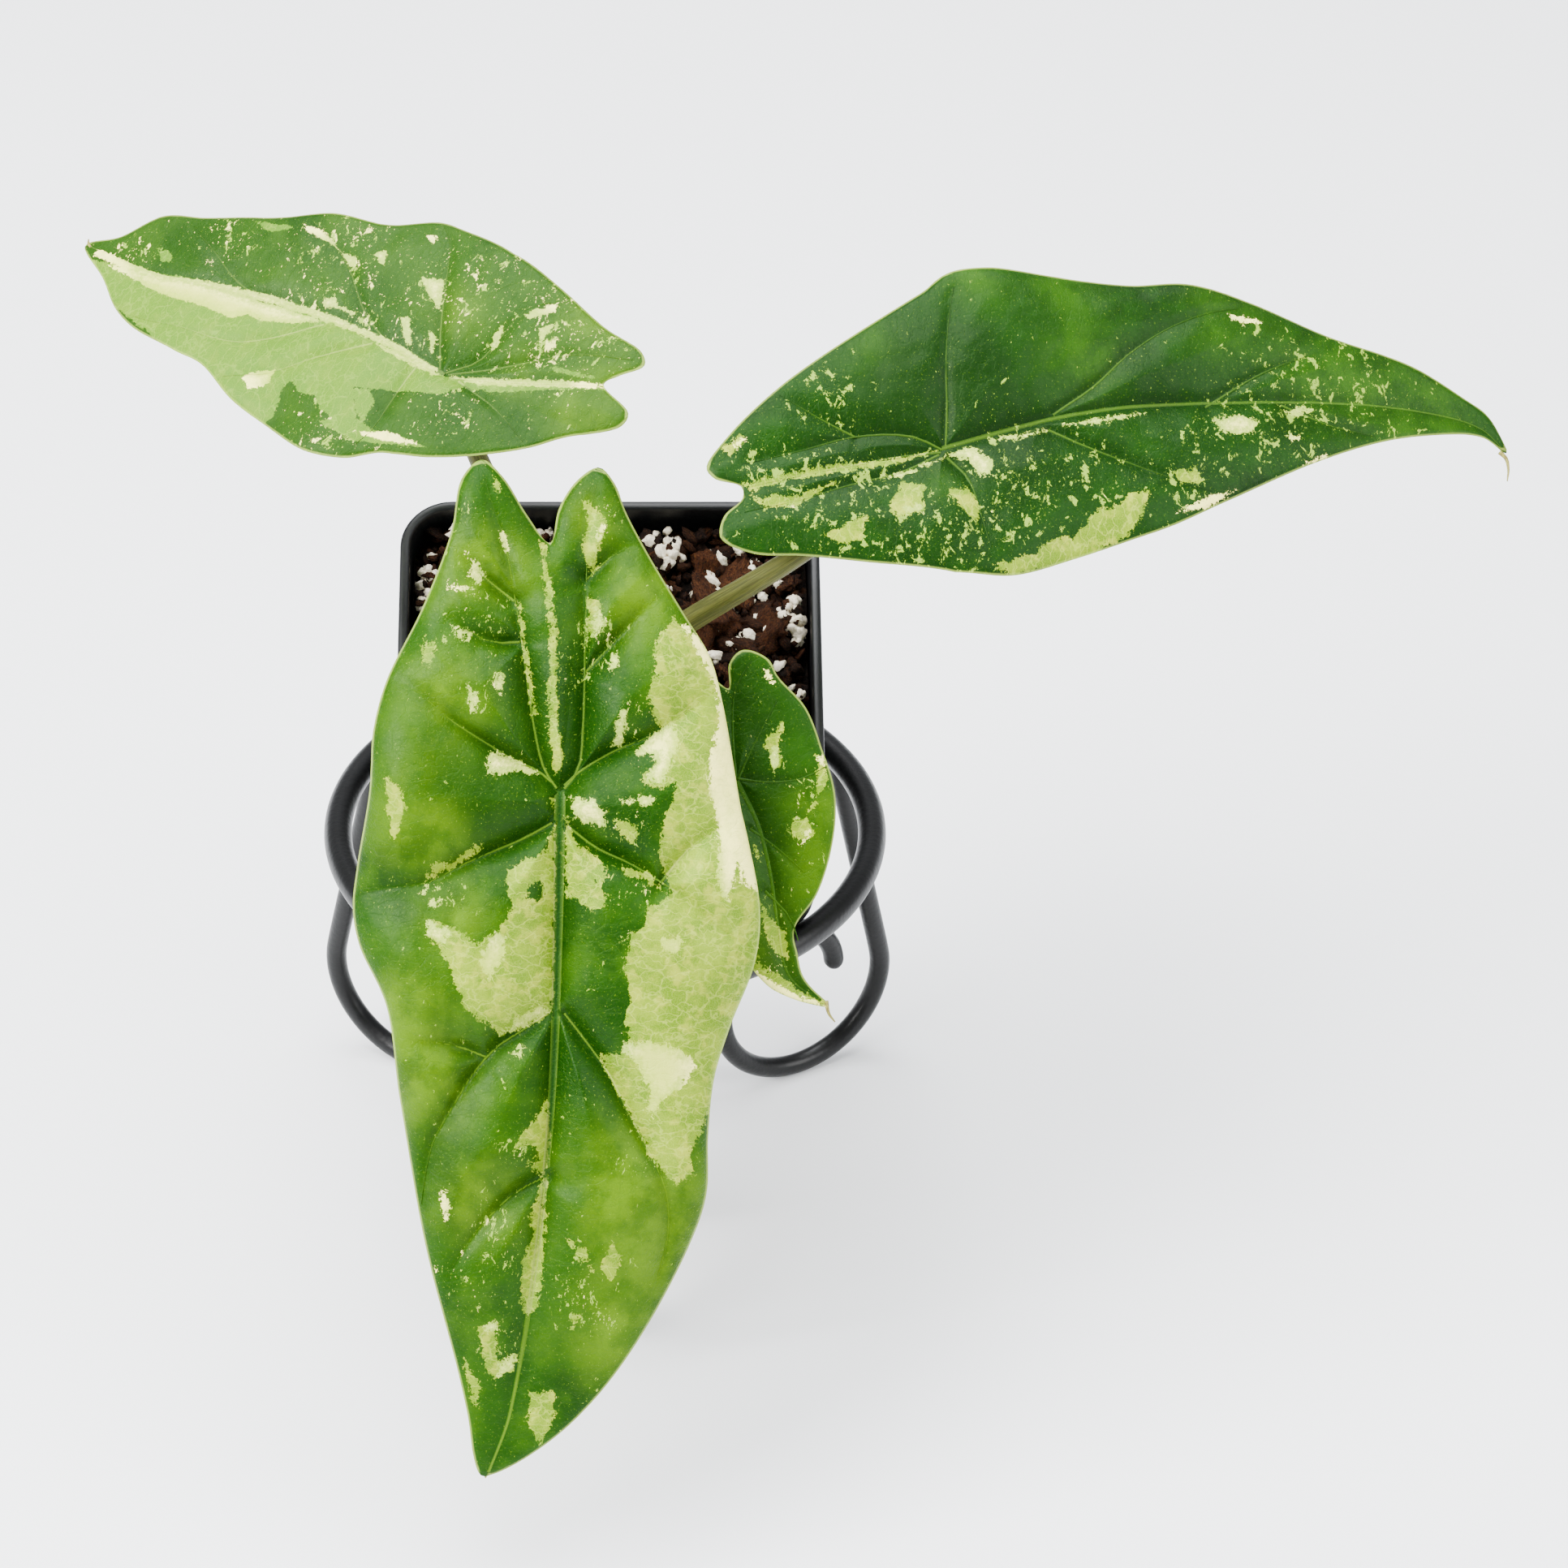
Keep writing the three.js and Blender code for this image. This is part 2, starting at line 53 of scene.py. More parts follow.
RING = dict(radius=58.5, rod=3.05, height=89.2)
LEG = dict(rod=2.4, lean=13.2, top_radius=59.9, top_drop=3.3, weld=0.03)
SCROLL = dict(radius=52.5, drop=65.5, outer=21.5, inner=14.1, turn=138.0, end=-6.0, step=6.0)
LEG_ANGLES = {"stand_leg_right": 29.0, "stand_leg_left": 149.0, "stand_leg_front": 269.0}
POT = dict(half=44.5, corner=10.0, height=88.0, base=31.0, wall=1.2, lip=0.9, lip_height=2.4, draft=0.3,
           band=30.0, band_step=1.0, hole=4.0, hole_offset=17.0)
POT_FLOOR = POT["height"] - POT["wall"] * 1.5
POT_LEAN = math.radians(30)
POT_RIM_CENTRE = np.array([1.0, -18.9, 138.05])
SOIL_DROP = 8.5
STEM = dict(radius=7.4, rise=7.5, x=0.5, y=-2.0)
# Half the thickness of a blade, the half widths of its grooves, of their shadows and of the ribs in them, and
# how high a rib's crest is
SHEET = 0.3
GROOVE = dict(midrib=1.3, vein=1.1)
SHADOW = dict(midrib=2.4, vein=2.2)
RIB = dict(midrib=0.55, furrow=1.15, vein=0.3, crest=0.22)


def line(text):
    """Places on the flat blade in millimetres, each written as towards the tip,to the side[,reach]."""
    return np.array([place.split(",") for place in text.split()], float)


def lines(text):
    """Several lines or outlines with semicolons between them."""
    return [line(part) for part in text.split(";")]


# Each blade laid flat, with the navel, where its stalk ends, at 0,0. Then where the navel is and which way
# the blade runs and faces, how it arches, folds, curls and waves, its points round the rim and rings inside
# it, the height and width of its quilting, and how much dust and flecks it has
LEAVES = {
    "leaf_front": dict(
        midrib=line("0,0 28,2.5 60,4.7 92,5 124,3.2 137.5,0"),
        outline=line("""
    -48,-7 -53,-12 -60,-17.5 -63,-22 -59,-25.5 -48,-26.5 -33,-30.5 -18,-36 -8,-37.5 2,-37 19,-38 27,-38
    34,-36 45,-29.5 63,-25 90,-17.5 115,-8.5 134,-3 137.5,-1 137,1 133,7 120,19 104,28 86,35 76,37 64,36
    53,36 43,38 30,41.5 20,41.5 7,38 -6,34 -20,30 -29,26.5 -37,20.5 -47,13 -56,7 -61,4.5 -64,1 -61,-3
    -55,-6"""),
        navel=(-8.8, -75, 150.8), along=(-0.105, -0.558, -0.823), face=(0.02, -0.829, 0.559),
        arch_tip=0.0007, arch_lobe=0.0012, rise=0.12, curl=0.0032, wave=1.2, wave_length=52, rim=480,
        rings=120, quilt=6.2, valley=5.0, dust=0.1, fleck=0.95, deep_midrib=True, seed=3),
    "leaf_left": dict(
        midrib=line("0,0 15,-2.3 40,-2.5 57,-0.8 70,1.3 91,0"),
        outline=line("""
    -31,-11 -33,-14 -36.5,-18 -34.5,-20.5 -25,-22.5 -13,-26.5 0,-29.5 13,-31 19,-31 29,-26 41,-24
    51,-19.5 68,-14 77,-11.5 84.5,-4 91.5,0 82,6.5 75,12 67,15.2 56,16.8 49,17.5 39,22 29,24.5 17,27
    9,25.5 2,21 -7,18 -16,13.5 -24,8 -30,2 -38.5,-4.5 -38.5,-7.5"""),
        navel=(-32.2, -10, 207.3), along=(-0.859, 0.5, 0.112), face=(-0.18, -0.499, 0.848),
        arch_tip=0.001, arch_lobe=0.0012, rise=0.14, curl=0.004, wave=1.0, wave_length=44, rim=400,
        rings=90, quilt=1.3, valley=3.5, dust=0.15, fleck=0.78, seed=11),
    "leaf_right": dict(
        midrib=line("0,0 12,3 24,5.7 41,8 77,9.3 95,9.1 110,7.7 119,5.3 124,0.8"),
        outline=line("""
    -41,-8.5 -41,-6 -46,-4 -47.5,-1.5 -43,4.5 -32,14 -15,25 -2,32.5 4,36.5 12,37.5 25,36 42,34 55,34
    69,30 86,23.5 104,18 116,11.5 122,6.5 124.5,0.8 121.5,2.2 117,3.8 108,3.4 96,1.5 77,-4.5 58,-12.5
    44,-18.3 26,-23.5 12,-27 -1,-26 -16,-23.3 -30,-21 -40,-20 -46,-16.5 -45,-12"""),
        navel=(67.4, -20, 196), along=(0.99, 0.136, -0.039), face=(0.12, -0.661, 0.741), arch_tip=0.0012,
        arch_lobe=0.0012, rise=0.12, curl=0.0032, wave=1.1, wave_length=50, rim=440, rings=104,
        quilt=2.3, valley=5.0, dust=0.06, fleck=0.95, seed=23),
    "leaf_small": dict(
        midrib=line("0,0 10,0.5 20,-1 30,-3.5 40,-5 48.5,0"),
        outline=line("""
    -17.5,5.5 -21.5,2.5 -20,-4 -16,-10 -9,-15 0,-17.5 10,-17.5 20,-16.5 28,-14.3 36,-11.3 42,-8.3 46,-4
    48.5,0 44,-1.6 37,-2 31.5,-0.6 27,6 20,12 12,16.3 2,18 -8,18.3 -16,15.5 -20,15 -23.5,11 -22,7.5"""),
        navel=(26.1, -66, 147), along=(0.383, -0.517, -0.766), face=(0.1, -0.801, 0.591),
        arch_tip=0.0012, arch_lobe=0.0012, rise=0.12, curl=0.005, wave=0.7, wave_length=34, rim=300,
        rings=70, quilt=0.8, valley=4.0, dust=0.1, fleck=0.8, seed=31),
}

STALKS = {
    "stalk_front": dict(leaf="leaf_front", foot=(-3.6, -3.2), foot_radius=3.1, top_radius=2.2,
                        via=[(-4, -33, 152), (-7, -48, 158), (-9, -63, 154)]),
    "stalk_left": dict(leaf="leaf_left", foot=(-3.2, 3.6), foot_radius=2.9, top_radius=2.0,
                       via=[(-6, -22, 152), (-16, -19, 170), (-25.5, -14, 190)]),
    "stalk_right": dict(leaf="leaf_right", foot=(3.7, 3.2), foot_radius=2.9, top_radius=1.9,
                        via=[(7, -25, 150), (16.4, -30, 161), (37.6, -30, 176.3), (51.6, -24, 184)]),
    "stalk_small": dict(leaf="leaf_small", foot=(3.6, -3.6), foot_radius=2.6, top_radius=1.5,
                        via=[(10, -35, 144), (17, -46, 150), (23, -57, 149)]),
}

# The dry threads in which the blades end, from a little short of the tip
TIPS = {"leaf_front": line("0,0 0.8,-0.2 1.6,-0.3"), "leaf_left": line("0,0 1.2,-0.5 2,-1.6"),
        "leaf_right": line("0,0 1.3,-1.5 1.5,-3.8 0.9,-6.4"), "leaf_small": line("0,0 2.4,-0.4 4.6,0.2")}

# The greens of each blade: dark, middle, light, yellow, vein
TONES = {
    "leaf_front": ("072a00", "163b00", "2c4f00", "507000", "6c8e1c"),
    "leaf_left": ("123004", "203f08", "2c4a0e", "42600c", "6c8434"),
    "leaf_right": ("041f02", "082903", "0f3404", "264c04", "5a7c20"),
    "leaf_small": ("092800", "103400", "1a3f02", "3c5c02", "44661a"),
}
# How the marks look: pale_depth darkens the pale green, ragged frays the sectors, speck thickens the small
# flecks, white makes bright flecks rarer, dusty and ribs are the strength of dust and rib lines, and across
# makes flecks narrower
LOOKS = {
    "leaf_front": dict(pale_depth=0.15, ragged=1.0, speck=0.085, white=0.62, dusty=0.3, ribs=0.5,
                       across=1.25),
    "leaf_left": dict(pale_depth=0.85, ragged=0.5, speck=0.085, white=0.5, dusty=0.2, ribs=0.3, across=0.8),
    "leaf_right": dict(pale_depth=0.1, ragged=0.9, speck=0.045, white=0.68, dusty=0.2, ribs=0.4, across=0.85),
    "leaf_small": dict(pale_depth=0.1, ragged=0.9, speck=0.08, white=0.58, dusty=0.2, ribs=0.25, across=1.2),
}

# Veins and markings of each blade. Pale and cream are sectors, holes are green islands in the pale
# ones, a strip is start,end,near,far beside the midrib, and the other spots are place,place,reach; the
# dark spots are painted shade.
MARKS = {
    "leaf_front": dict(
        veins=lines("""
    -0.5,-0.7 -3.9,-3.5 -12.7,-6.6 -25.9,-9.9 -37.2,-12.9 -46.8,-15.7 -56.2,-19.8 -60.4,-21.5;
    -36,-12.8 -40.2,-19.3 -45.1,-25.4; -28.2,-10.8 -27.6,-16.8 -31.1,-24.5;
    -0.6,0.8 -4.6,3.1 -13.8,3.1 -27.2,2 -41.8,0.8 -50.4,0.2 -60.4,0.7; -41.8,0.9 -47.2,5.7 -50.2,10.3;
    -23.5,2.4 -30.2,7.5 -40.2,15; -1.2,0.7 -4.3,3.5 -9.3,10.3 -12.4,16.1 -17,21.7 -23.2,28.5;
    6.6,2.2 10.2,8.1 12.6,15.1 15.6,21.5 17.6,25.4 22.4,32.7 26.6,40.6;
    -1.6,-1.8 -3.7,-5.1 -4.8,-8.9 -7.6,-14.7 -11.1,-21.8 -16.4,-29.7 -18.5,-33.6;
    6.3,-0.9 9.9,-6.1 13.7,-13 16.7,-18.2 20.4,-24 22.5,-31.7 24.2,-37.1;
    42.8,2.9 47.1,-2.1 51.3,-7.2 56.6,-11 63.8,-14.5 71,-17.5 79.2,-18.5 83.6,-18.6;
    53.3,-8.9 51.5,-15.8 51.6,-22.5;
    43.2,5.4 47.6,9.6 53.9,15.2 62,20.4 69.6,25.5 76.1,29 84.8,30.3 93.1,29.3;
    75.4,5.8 79.2,0 86.8,-6.6 95.4,-11.3; 15.6,21.5 8.3,26.3 3.4,31.9"""),
        pale=lines("""
    -36,18.5 -33,16 -28.5,15.5 -25,16 -20,15 -16.5,17 -14,18.5 -12.5,17 -9,18.5 -6,17 -3.5,15 -2.5,20
    -4.5,22 -0.5,22 4.5,20.5 10,20.5 13.5,22 18,23.5 20.5,19.5 24,19.5 26,17 32,16 37.5,17.5 42.5,17.5
    46.5,18.5 49.5,17 50.5,13.5 54,15 62,20.5 69,25 72.5,28.5 74,31 72,34 67.5,32.5 65,34 59.5,35.5
    53,36.5 44,38 38.5,40.5 30.5,44.5 21.5,44 14,41.5 -3,40.5 -14.5,35.5 -26,28 -34,22;
    1.5,-1.5 6,0 11.5,-1.5 14,-5.5 16.5,-8.5 19.5,-9 18,-9 22.5,-7 26.5,-8 28.5,-9.5 31,-13 28.5,-17.5
    27.5,-23 30.5,-23 35.5,-18 40,-16 44,-14 46,-10 48.5,-6.5 46.5,-2 43.5,2.5 40.5,3 13.5,0.5 7.5,0
    1.5,-0.5; 5,1.5 9,3.5 12,8.5 15,11 17.5,9.5 16.5,8.5 19.5,11.5 21.5,11 22,7.5 20,3.5 13.5,2.5;
    4.5,11 4.5,16 8.5,15 7,12.5; 13,12 14,19 17,21.5 15.5,18.5 15,15.5;
    60.5,4 64,2 67.5,-0.5 70,-1.5 69,2 72,3.5 73,0.5 75.5,4.5 80,4 84,3 87.5,4 93,2.5 99,3 96,2.5
    103.5,3.5 103,6 94,6.5 85,6 81,5.5 68.5,5;
    -48,-9 -48,-8 -40,-6 -29,-3.5 -14,-2 -4.5,0 -4,-1.5 -10.5,-3.5 -29,-5 -41,-7.5;
    -57,-1 -56,1.5 -52.5,3.5 -49,2.5 -44,2.5 -43,1 -48,-0.5 -52,0;
    -38,1.5 -38,3.5 -33.5,5 -31,3.5 -31.5,2; -60,-19.5 -58.5,-17.5 -55.5,-18.5;
    -27,-29.5 -26,-27.5 -21.5,-27.5 -23,-29.5; 1,-34 2,-31.5 5.5,-29.5 13,-31 11,-32 6,-33;
    16,-23 16.5,-20 20.5,-24.5;
    107,-5 105.5,-1.5 111,-1 113.5,-0.5 111.5,3.5 114,3.5 117,-0.5 116,-2.5 110,-4;
    119,7 118.5,11 124.5,12 129.5,10 125,6.5; 87,10.5 89,15 93,16 89,12;
    86.5,19.5 90.5,21.5 95,20 92,17.5; 101,12.5 102.5,14.5 105,13.5;
    113,-7 116.5,-5.5 118,-3.5 123.5,-3 123,-4 118,-6;
    -36,-12 -35,-11 -28.5,-10 -14.5,-6 -14.5,-7 -25.5,-10; 13,-16.5 11.5,-14 13.5,-14.5 15.5,-17.5 18,-21"""),
        cream=lines("""
    -35,20 -26.5,26.5 -22.5,28.5 -17,29.5 -11,28.5 -5,28.5 1,30.5 7,32 15,32.5 16,33.5 18,34.5 13.5,35.5
    9,35.5 14.5,37.5 14.5,39.5 16.5,42 14,43 -3,41 -16,36 -26.5,29.5 -34,22.5;
    -12.5,16 -15.5,20.5 -11.5,22 -6.5,20.5 -3,19 -4.5,16.5 -8.5,18 -9,14;
    -17.5,10.5 -14,11.5 -10,11 -10,9 -14,9.5; 1,2 1,4.5 1,7 3,9 6,9.5 5.5,5.5 4,3;
    0.5,12 -1,18 0.5,18 1,13; 28.5,-9.5 29.5,-7.5 34,-8 37.5,-10 35,-12 30.5,-11;
    48.5,-6.5 46.5,-2 43,2.5 42,0 46,-4.5; 27.5,-23 29.5,-18 31.5,-19.5 30.5,-23;
    -44.5,-23 -43,-21.5 -40.5,-19 -38.5,-20.5 -40,-22 -42.5,-21.5; -38,-26 -37.5,-21 -36.5,-21 -37,-25.5;
    -30,-24 -28.5,-20 -27.5,-20.5 -28,-23; -49.5,-17.5 -49,-16 -45,-14.5 -46,-16;
    -19,-20 -16.5,-18 -14,-17.5 -13.5,-18.5 -15,-19.5; -21.5,-15 -21,-13.5 -18,-13.5 -18.5,-14.5;
    -6.5,-14.5 -4.5,-7.5 -3,-4.5 -3,-8.5 -2,-14.5; 80.5,-15 80.5,-14 83,-13 86.5,-13 85.5,-14;
    -52.5,2 -52.5,3.5 -47.5,2; -36,2.5 -36,4 -33,5 -31,3.5; -27.5,7 -28.5,8.5 -25,8.5 -24.5,7;
    48,16.5 46.5,22.5 47.5,28.5 50.5,32 55,29.5 57.5,26 61.5,24.5 60.5,23 56.5,24 51.5,20.5;
    51,-4 50,-2 52,-2 52.5,-4; 26,22.5 26,26.5 28.5,26.5 28.5,23; 105.5,-3 105.5,-1 107.5,-1 107.5,-3.5;
    113.5,0 111.5,3.5 114.5,3 117,-0.5; 22.5,-25 21,-24 23,-24; 23.5,-23 23.5,-21 24.5,-21.5 24.5,-23.5;
    1,2.5 1,6.5 4,8 4,4.5"""),
        hole=lines("19,-4 17.5,-2 20.5,-1 22,-2.5 21,-4.5"),
        yellow=line("""
    7,-26,9 27,-18,5 45,-26,7 59,-21,9 -41,-25,6 -42,-17,6 74,24,11 86,27,9 105,22,8 82,-7,7 -39,12,7
    -16,-24,7 -54,1,4"""),
        dark=line("""
    -12,-1,6 -21,-7,5 -19,3,5 0,-21,6 5,-12,5 3,11,6 56,8,7 20,4,4 44,13,7 5,-7,5 -14,19,5 -8,7,5"""),
        flecks=line("""
    -30,-20,5 -16,14,4 6,14,4 -23,-1,4 -19,-14,3 22,-20,3 17,17,3 97,-9,4 93,1,3 69,-2,4 85,-4,4 98,12,5
    109,0,4 103,20,3 20,13,2 70,21,3 -32,4,4 -55,4,3 -53,-24,2""")),
    "leaf_left": dict(
        veins=lines("""
    17.3,-0.3 26.4,7.4 34.1,14.2 42.7,18.5; 6.2,0.2 6.4,7.9 6.5,17.3 7.8,21.8;
    29.3,-0.4 37.3,6.1 44.8,10.4 59.6,11.6 69.7,12.4; -3.4,0.2 -13.6,2.9 -22.6,7.1;
    -1.5,0.2 -11.3,-2.9 -23,-7.1 -31.5,-10.5; 1.5,-0.7 4.9,-7 9.8,-18.1 14.1,-26.9 17.4,-30;
    15.3,-2 22.6,-6 31.1,-13.8 37.5,-17.7 44.1,-20.1; -0.1,-0.4 -5.2,-5.3 -7.2,-12 -9,-18.8 -12.6,-22.5;
    -0.8,-0.2 -9.8,-5.5 -23.7,-14.5 -33.9,-18; 43.7,-0.7 53.4,-3.1 62.8,-8 69,-11.1"""),
        pale=lines("""
    88.5,3 62,0 43.5,-0.5 28,-1.5 17.5,-1 7.5,-0.5 -0.5,0.5 -7,-1.5 -31.5,-11 -32,-10 -23.5,-6 -12.5,-0.5
    -5.5,1 -2,5.5 5,7 14.5,11 10.5,17 6.5,17.5 -0.5,16.5 -5.5,16.5 1.5,19 9,21.5 16,21 23.5,18.5 29.5,15
    27.5,22 29,24.5 33,24 45.5,20.5 62.5,15.5 74.5,12 83,6; 74,-4 70.5,-4 69,-2 72,-1.5;
    56.5,-16.5 46,-18 51.5,-15; -19,-9.5 -29,-11.5 -28,-10.5 -21,-9; 14.5,11 11.5,10 9,12 9,17 11.5,15.5"""),
        cream=lines("""
    84,3 62,0.5 43.5,-0.5 29.5,-1 34.5,1.5 41,4 45.5,4 48.5,6 55,5.5 64.5,6 71.5,5 79,3.5;
    -1.5,0 -31.5,-11 -31.5,-10 -22,-6 -7.5,-0.5; 38.5,17.5 37.5,15.5 33,13 32.5,16.5 35.5,19;
    15,-17 10.5,-18.5 7.5,-12 11.5,-14; 45.5,-19 41.5,-19.5 36,-17.5 37,-17 44,-18;
    35,-16.5 30.5,-16 29,-14 31,-14; 32,-5.5 29.5,-6.5 28.5,-4.5 31.5,-3.5; 28,-5 24,-5.5 24.5,-4;
    27.5,-18.5 25,-20 23.5,-16; 19.5,-26.5 17,-27.5 17,-25; 14.5,-7.5 12.5,-8 9.5,-3 11,-3;
    7.5,-7 5.5,-6.5 4.5,-2.5; -9,-17.5 -14,-23 -14.5,-21 -11,-17; -13.5,-16 -16,-18 -15.5,-13.5;
    -5.5,-11.5 -6.5,-14.5 -7.5,-9.5 -6.5,-8; 17.5,-0.5 8.5,-0.5 0.5,0.5 2,1 10.5,1;
    17,24.5 14.5,23.5 15.5,25; 10,19.5 3,16.5 -4.5,16.5 3.5,19"""),
        hole=lines("""
    29.5,16.5 28,14 25,16 21.5,15.5 18.5,18 14.5,19 18,20.5 22.5,20.5 25,19;
    28.5,23 21.5,22 14,21.5 14.5,23.5 10.5,21 7.5,22.5 10.5,27 20.5,27"""),
        yellow=line("-31,-10,6 -22,-22,6 -31,-2,5 4,-11,6 -14,-6,4"),
        dark=line("11,-4,5 0,-4,5 22,-11,5 65,-8,7 -8,9,6"),
        strips=line("2,88,-0.2,1.7"),
        flecks=line("""
    30,-15,10 11,-13,10 -12,-19,10 59,-12,8 33,-7,8 79,-1,5 14,21,9 -7,7,7 6,-25,6 -30,-17,5 -22,-9,6""")),
    "leaf_right": dict(
        veins=lines("""
    0.8,0.3 1.6,7.5 2.2,18 3.6,26.7 5.2,33.3; 0,-0.2 -6,2.6 -17.3,3.1 -28.7,0.6 -40,-1.4;
    -17.3,3.1 -25.2,7.6 -31.9,12.2; -0.7,-1.3 -8.8,-4.8 -19.3,-7 -29.7,-9.6 -41,-11.6;
    -0.3,-0.8 -10.5,-1.7 -21,-3.3 -31.3,-4.9 -39.5,-6.3;
    23.6,6.4 32.6,12.1 40.9,19 49.1,24 58.4,27.5 65.3,28.7;
    22.3,3.3 29.4,-0.5 37.5,-3.9 47.7,-8.3 55.1,-10.5; 0.8,-1.9 4.4,-6.4 6.2,-14 7.5,-21.5;
    56.2,7.9 68,14.5 79.8,19.2; 73,8.7 83.9,4.2 93,2.3"""),
        pale=lines("""
    15,-23.5 21,-20 25,-19.5 30,-14.5 35,-13.5 37.5,-11 41.5,-11 39,-16 36.5,-19.5 26.5,-24 11.5,-27
    7.5,-25; -40.5,-5.5 -31,-4 -19,-2.5 -10.5,-2 -1,-0.5 -10,-3 -19,-4 -31.5,-5.5 -39.5,-7;
    -25.5,-17.5 -21,-15.5 -17,-14 -18,-18 -20.5,-19.5 -23,-19; -44.5,2.5 -39.5,4.5 -40.5,2.5 -43,0.5;
    0,-9.5 4,-8.5 6,-13 5.5,-16 2.5,-14; -13,-13.5 -9,-7 -5,-8 -5.5,-13.5 -10,-14.5;
    -39.5,-8.5 -31.5,-9 -22.5,-6.5 -30,-10.5 -37,-11; 47,-6.5 52.5,-6 53,-8.5 48.5,-9"""),
        cream=lines("""
    1,-1.5 6,0 9.5,-3.5 9,-6.5 7,-6.5 5,-3; -13,-5.5 -6.5,-4.5 0,-2 -3.5,-3 -9,-6;
    58,4.5 62.5,6 67.5,4.5 64.5,1.5 59,2; 73,7 77.5,8.5 80,7.5 76,6.5; 10,1.5 22,3 17,1.5 11.5,1;
    25.5,4 34,5.5 43.5,6.5 33,4; -9.5,-12.5 -5.5,-12.5 -6,-14 -10,-14; 72.5,1.5 76.5,2 74.5,0.5;
    63,27 66,27 70.5,25.5 65,25.5; 76.5,-4 82,-2 81,-3; 47,-15 55,-11.5 60.5,-10 53.5,-14;
    -43.5,2 -39.5,4 -41,2"""),
        yellow=line("-11,21,6 10,36,6 29,34,7 31,17,7 -2,-6,4 62,26,7 82,15,9 98,9,9 110,6,7"),
        dark=line("-4,7,12 4,12,10 13,-2,8 0,16,10 -20,-4,7 45,11,8"),
        flecks=line("""
    -15,-13,12 -30,-9,10 0,-20,9 16,-14,8 33,-7,8 65,4,9 74,15,10 50,-8,9 90,12,12 -23,12,6 -41,2,5
    14,-1,6""")),
    "leaf_small": dict(
        veins=lines("""
    -0.4,0.2 2.5,5.3 4.5,11.9 4.1,17.5; -0.3,0.4 -3.6,3.8 -7.6,8.5 -11.7,13.3; 9.7,-1.3 15.1,2.1 21.8,5.4;
    -0.5,0 -8.7,2.7 -17.1,6.8 -21,11.8; 22.3,-3.2 28.7,-0.7 34,-0.8"""),
        pale=lines("""
    -5.5,8.5 -7,12.5 -5,12 -3.5,10.5 1,8.5 0.5,7 -2.5,8 -4,7.5; 11.5,7 12,10 15.5,10 16,7.5 14,6;
    1.5,16.5 2.5,17.5 7,16.5 10,12.5 11,11 7.5,14;
    33.5,-10 35.5,-9.5 39,-7 43.5,-4 48,0 44.5,-6.5 40.5,-9.5 35.5,-13;
    23.5,-5 26.5,-4.5 31.5,-2.5 36.5,-4 34.5,-6 29.5,-6.5; 13,-2 15,-1 16,-2.5"""),
        cream=lines("""
    -3,8 -3,10 0.5,8.5 0.5,7.5; 36.5,-11 40,-8 44.5,-4.5 48.5,0 44,-7 37.5,-12;
    -18,13.5 -17.5,14.5 -15.5,14 -17,13; 1.5,16.5 2.5,17.5 4.5,16.5; 14,7.5 14.5,9.5 16,8.5"""),
        yellow=line("37,-7,5 29,-5,4 22,8,8 12,12,6"),
        dark=line("0,2,5 -7,9,5 12,4,5"),
        flecks=line("-4,9,2 7,13,3 14,8,3 28,-4,4 -16,14,2 37,-7,4")),
}


# Curves
def centripetal(points, count, closed=False):
    """count points along a smooth curve through the given ones."""
    p = np.asarray(points, float)
    n = len(p)
    spans = n if closed else n - 1
    out = []
    for k in range(count):
        t = spans * k / (count if closed else count - 1)
        i = min(int(t), spans - 1)
        w = t - i
        if closed:
            a, b, c, d = (p[(i + j) % n] for j in (-1, 0, 1, 2))
        else:
            b, c = p[i], p[i + 1]
            a = p[i - 1] if i > 0 else 2 * p[0] - p[1]
            d = p[i + 2] if i + 2 < n else 2 * p[-1] - p[-2]
        t0, t1, t2 = (max(np.linalg.norm(y - x) ** 0.5, 1e-4) for x, y in ((a, b), (b, c), (c, d)))
        m1 = ((b - a) / t0 - (c - a) / (t0 + t1) + (c - b) / t1) * t1
        m2 = ((c - b) / t1 - (d - b) / (t1 + t2) + (d - c) / t2) * t1
        out.append(b + m1 * w + (3 * (c - b) - 2 * m1 - m2) * w ** 2 + (2 * (b - c) + m1 + m2) * w ** 3)
    return np.array(out)


def runs(curve):
    """How far along the curve each of its points lies."""
    return np.concatenate([[0], np.cumsum(np.linalg.norm(np.diff(curve, axis=0), axis=1))])


def even(curve, count, closed=False):
    """The same curve with count points at equal distances."""
    curve = np.vstack([curve, curve[:1]]) if closed else curve
    run = runs(curve)
    at = np.linspace(0, run[-1], count, endpoint=not closed)
    return np.stack([np.interp(at, run, column) for column in curve.T], 1)


def smooth(points, fine, count, closed=False):
    """count points at equal distances along a smooth curve, worked out at fine places."""
    return even(centripetal(points, fine, closed), count, closed)


def between(knots, u):
    """A smooth curve through (u, v) knots, level beyond its ends."""
    x, y = knots.T
    u = np.clip(u, x[0], x[-1])
    i = np.clip(np.searchsorted(x, u) - 1, 0, len(x) - 2)
    before, after = np.maximum(i - 1, 0), np.minimum(i + 2, len(x) - 1)
    step = x[i + 1] - x[i]
    m0 = (y[i + 1] - y[before]) / (x[i + 1] - x[before]) * step
    m1 = (y[after] - y[i]) / (x[after] - x[i]) * step
    s = (u - x[i]) / step
    return ((2 * s**3 - 3 * s**2 + 1) * y[i] + (s**3 - 2 * s**2 + s) * m0
            + (3 * s**2 - 2 * s**3) * y[i + 1] + (s**3 - s**2) * m1)


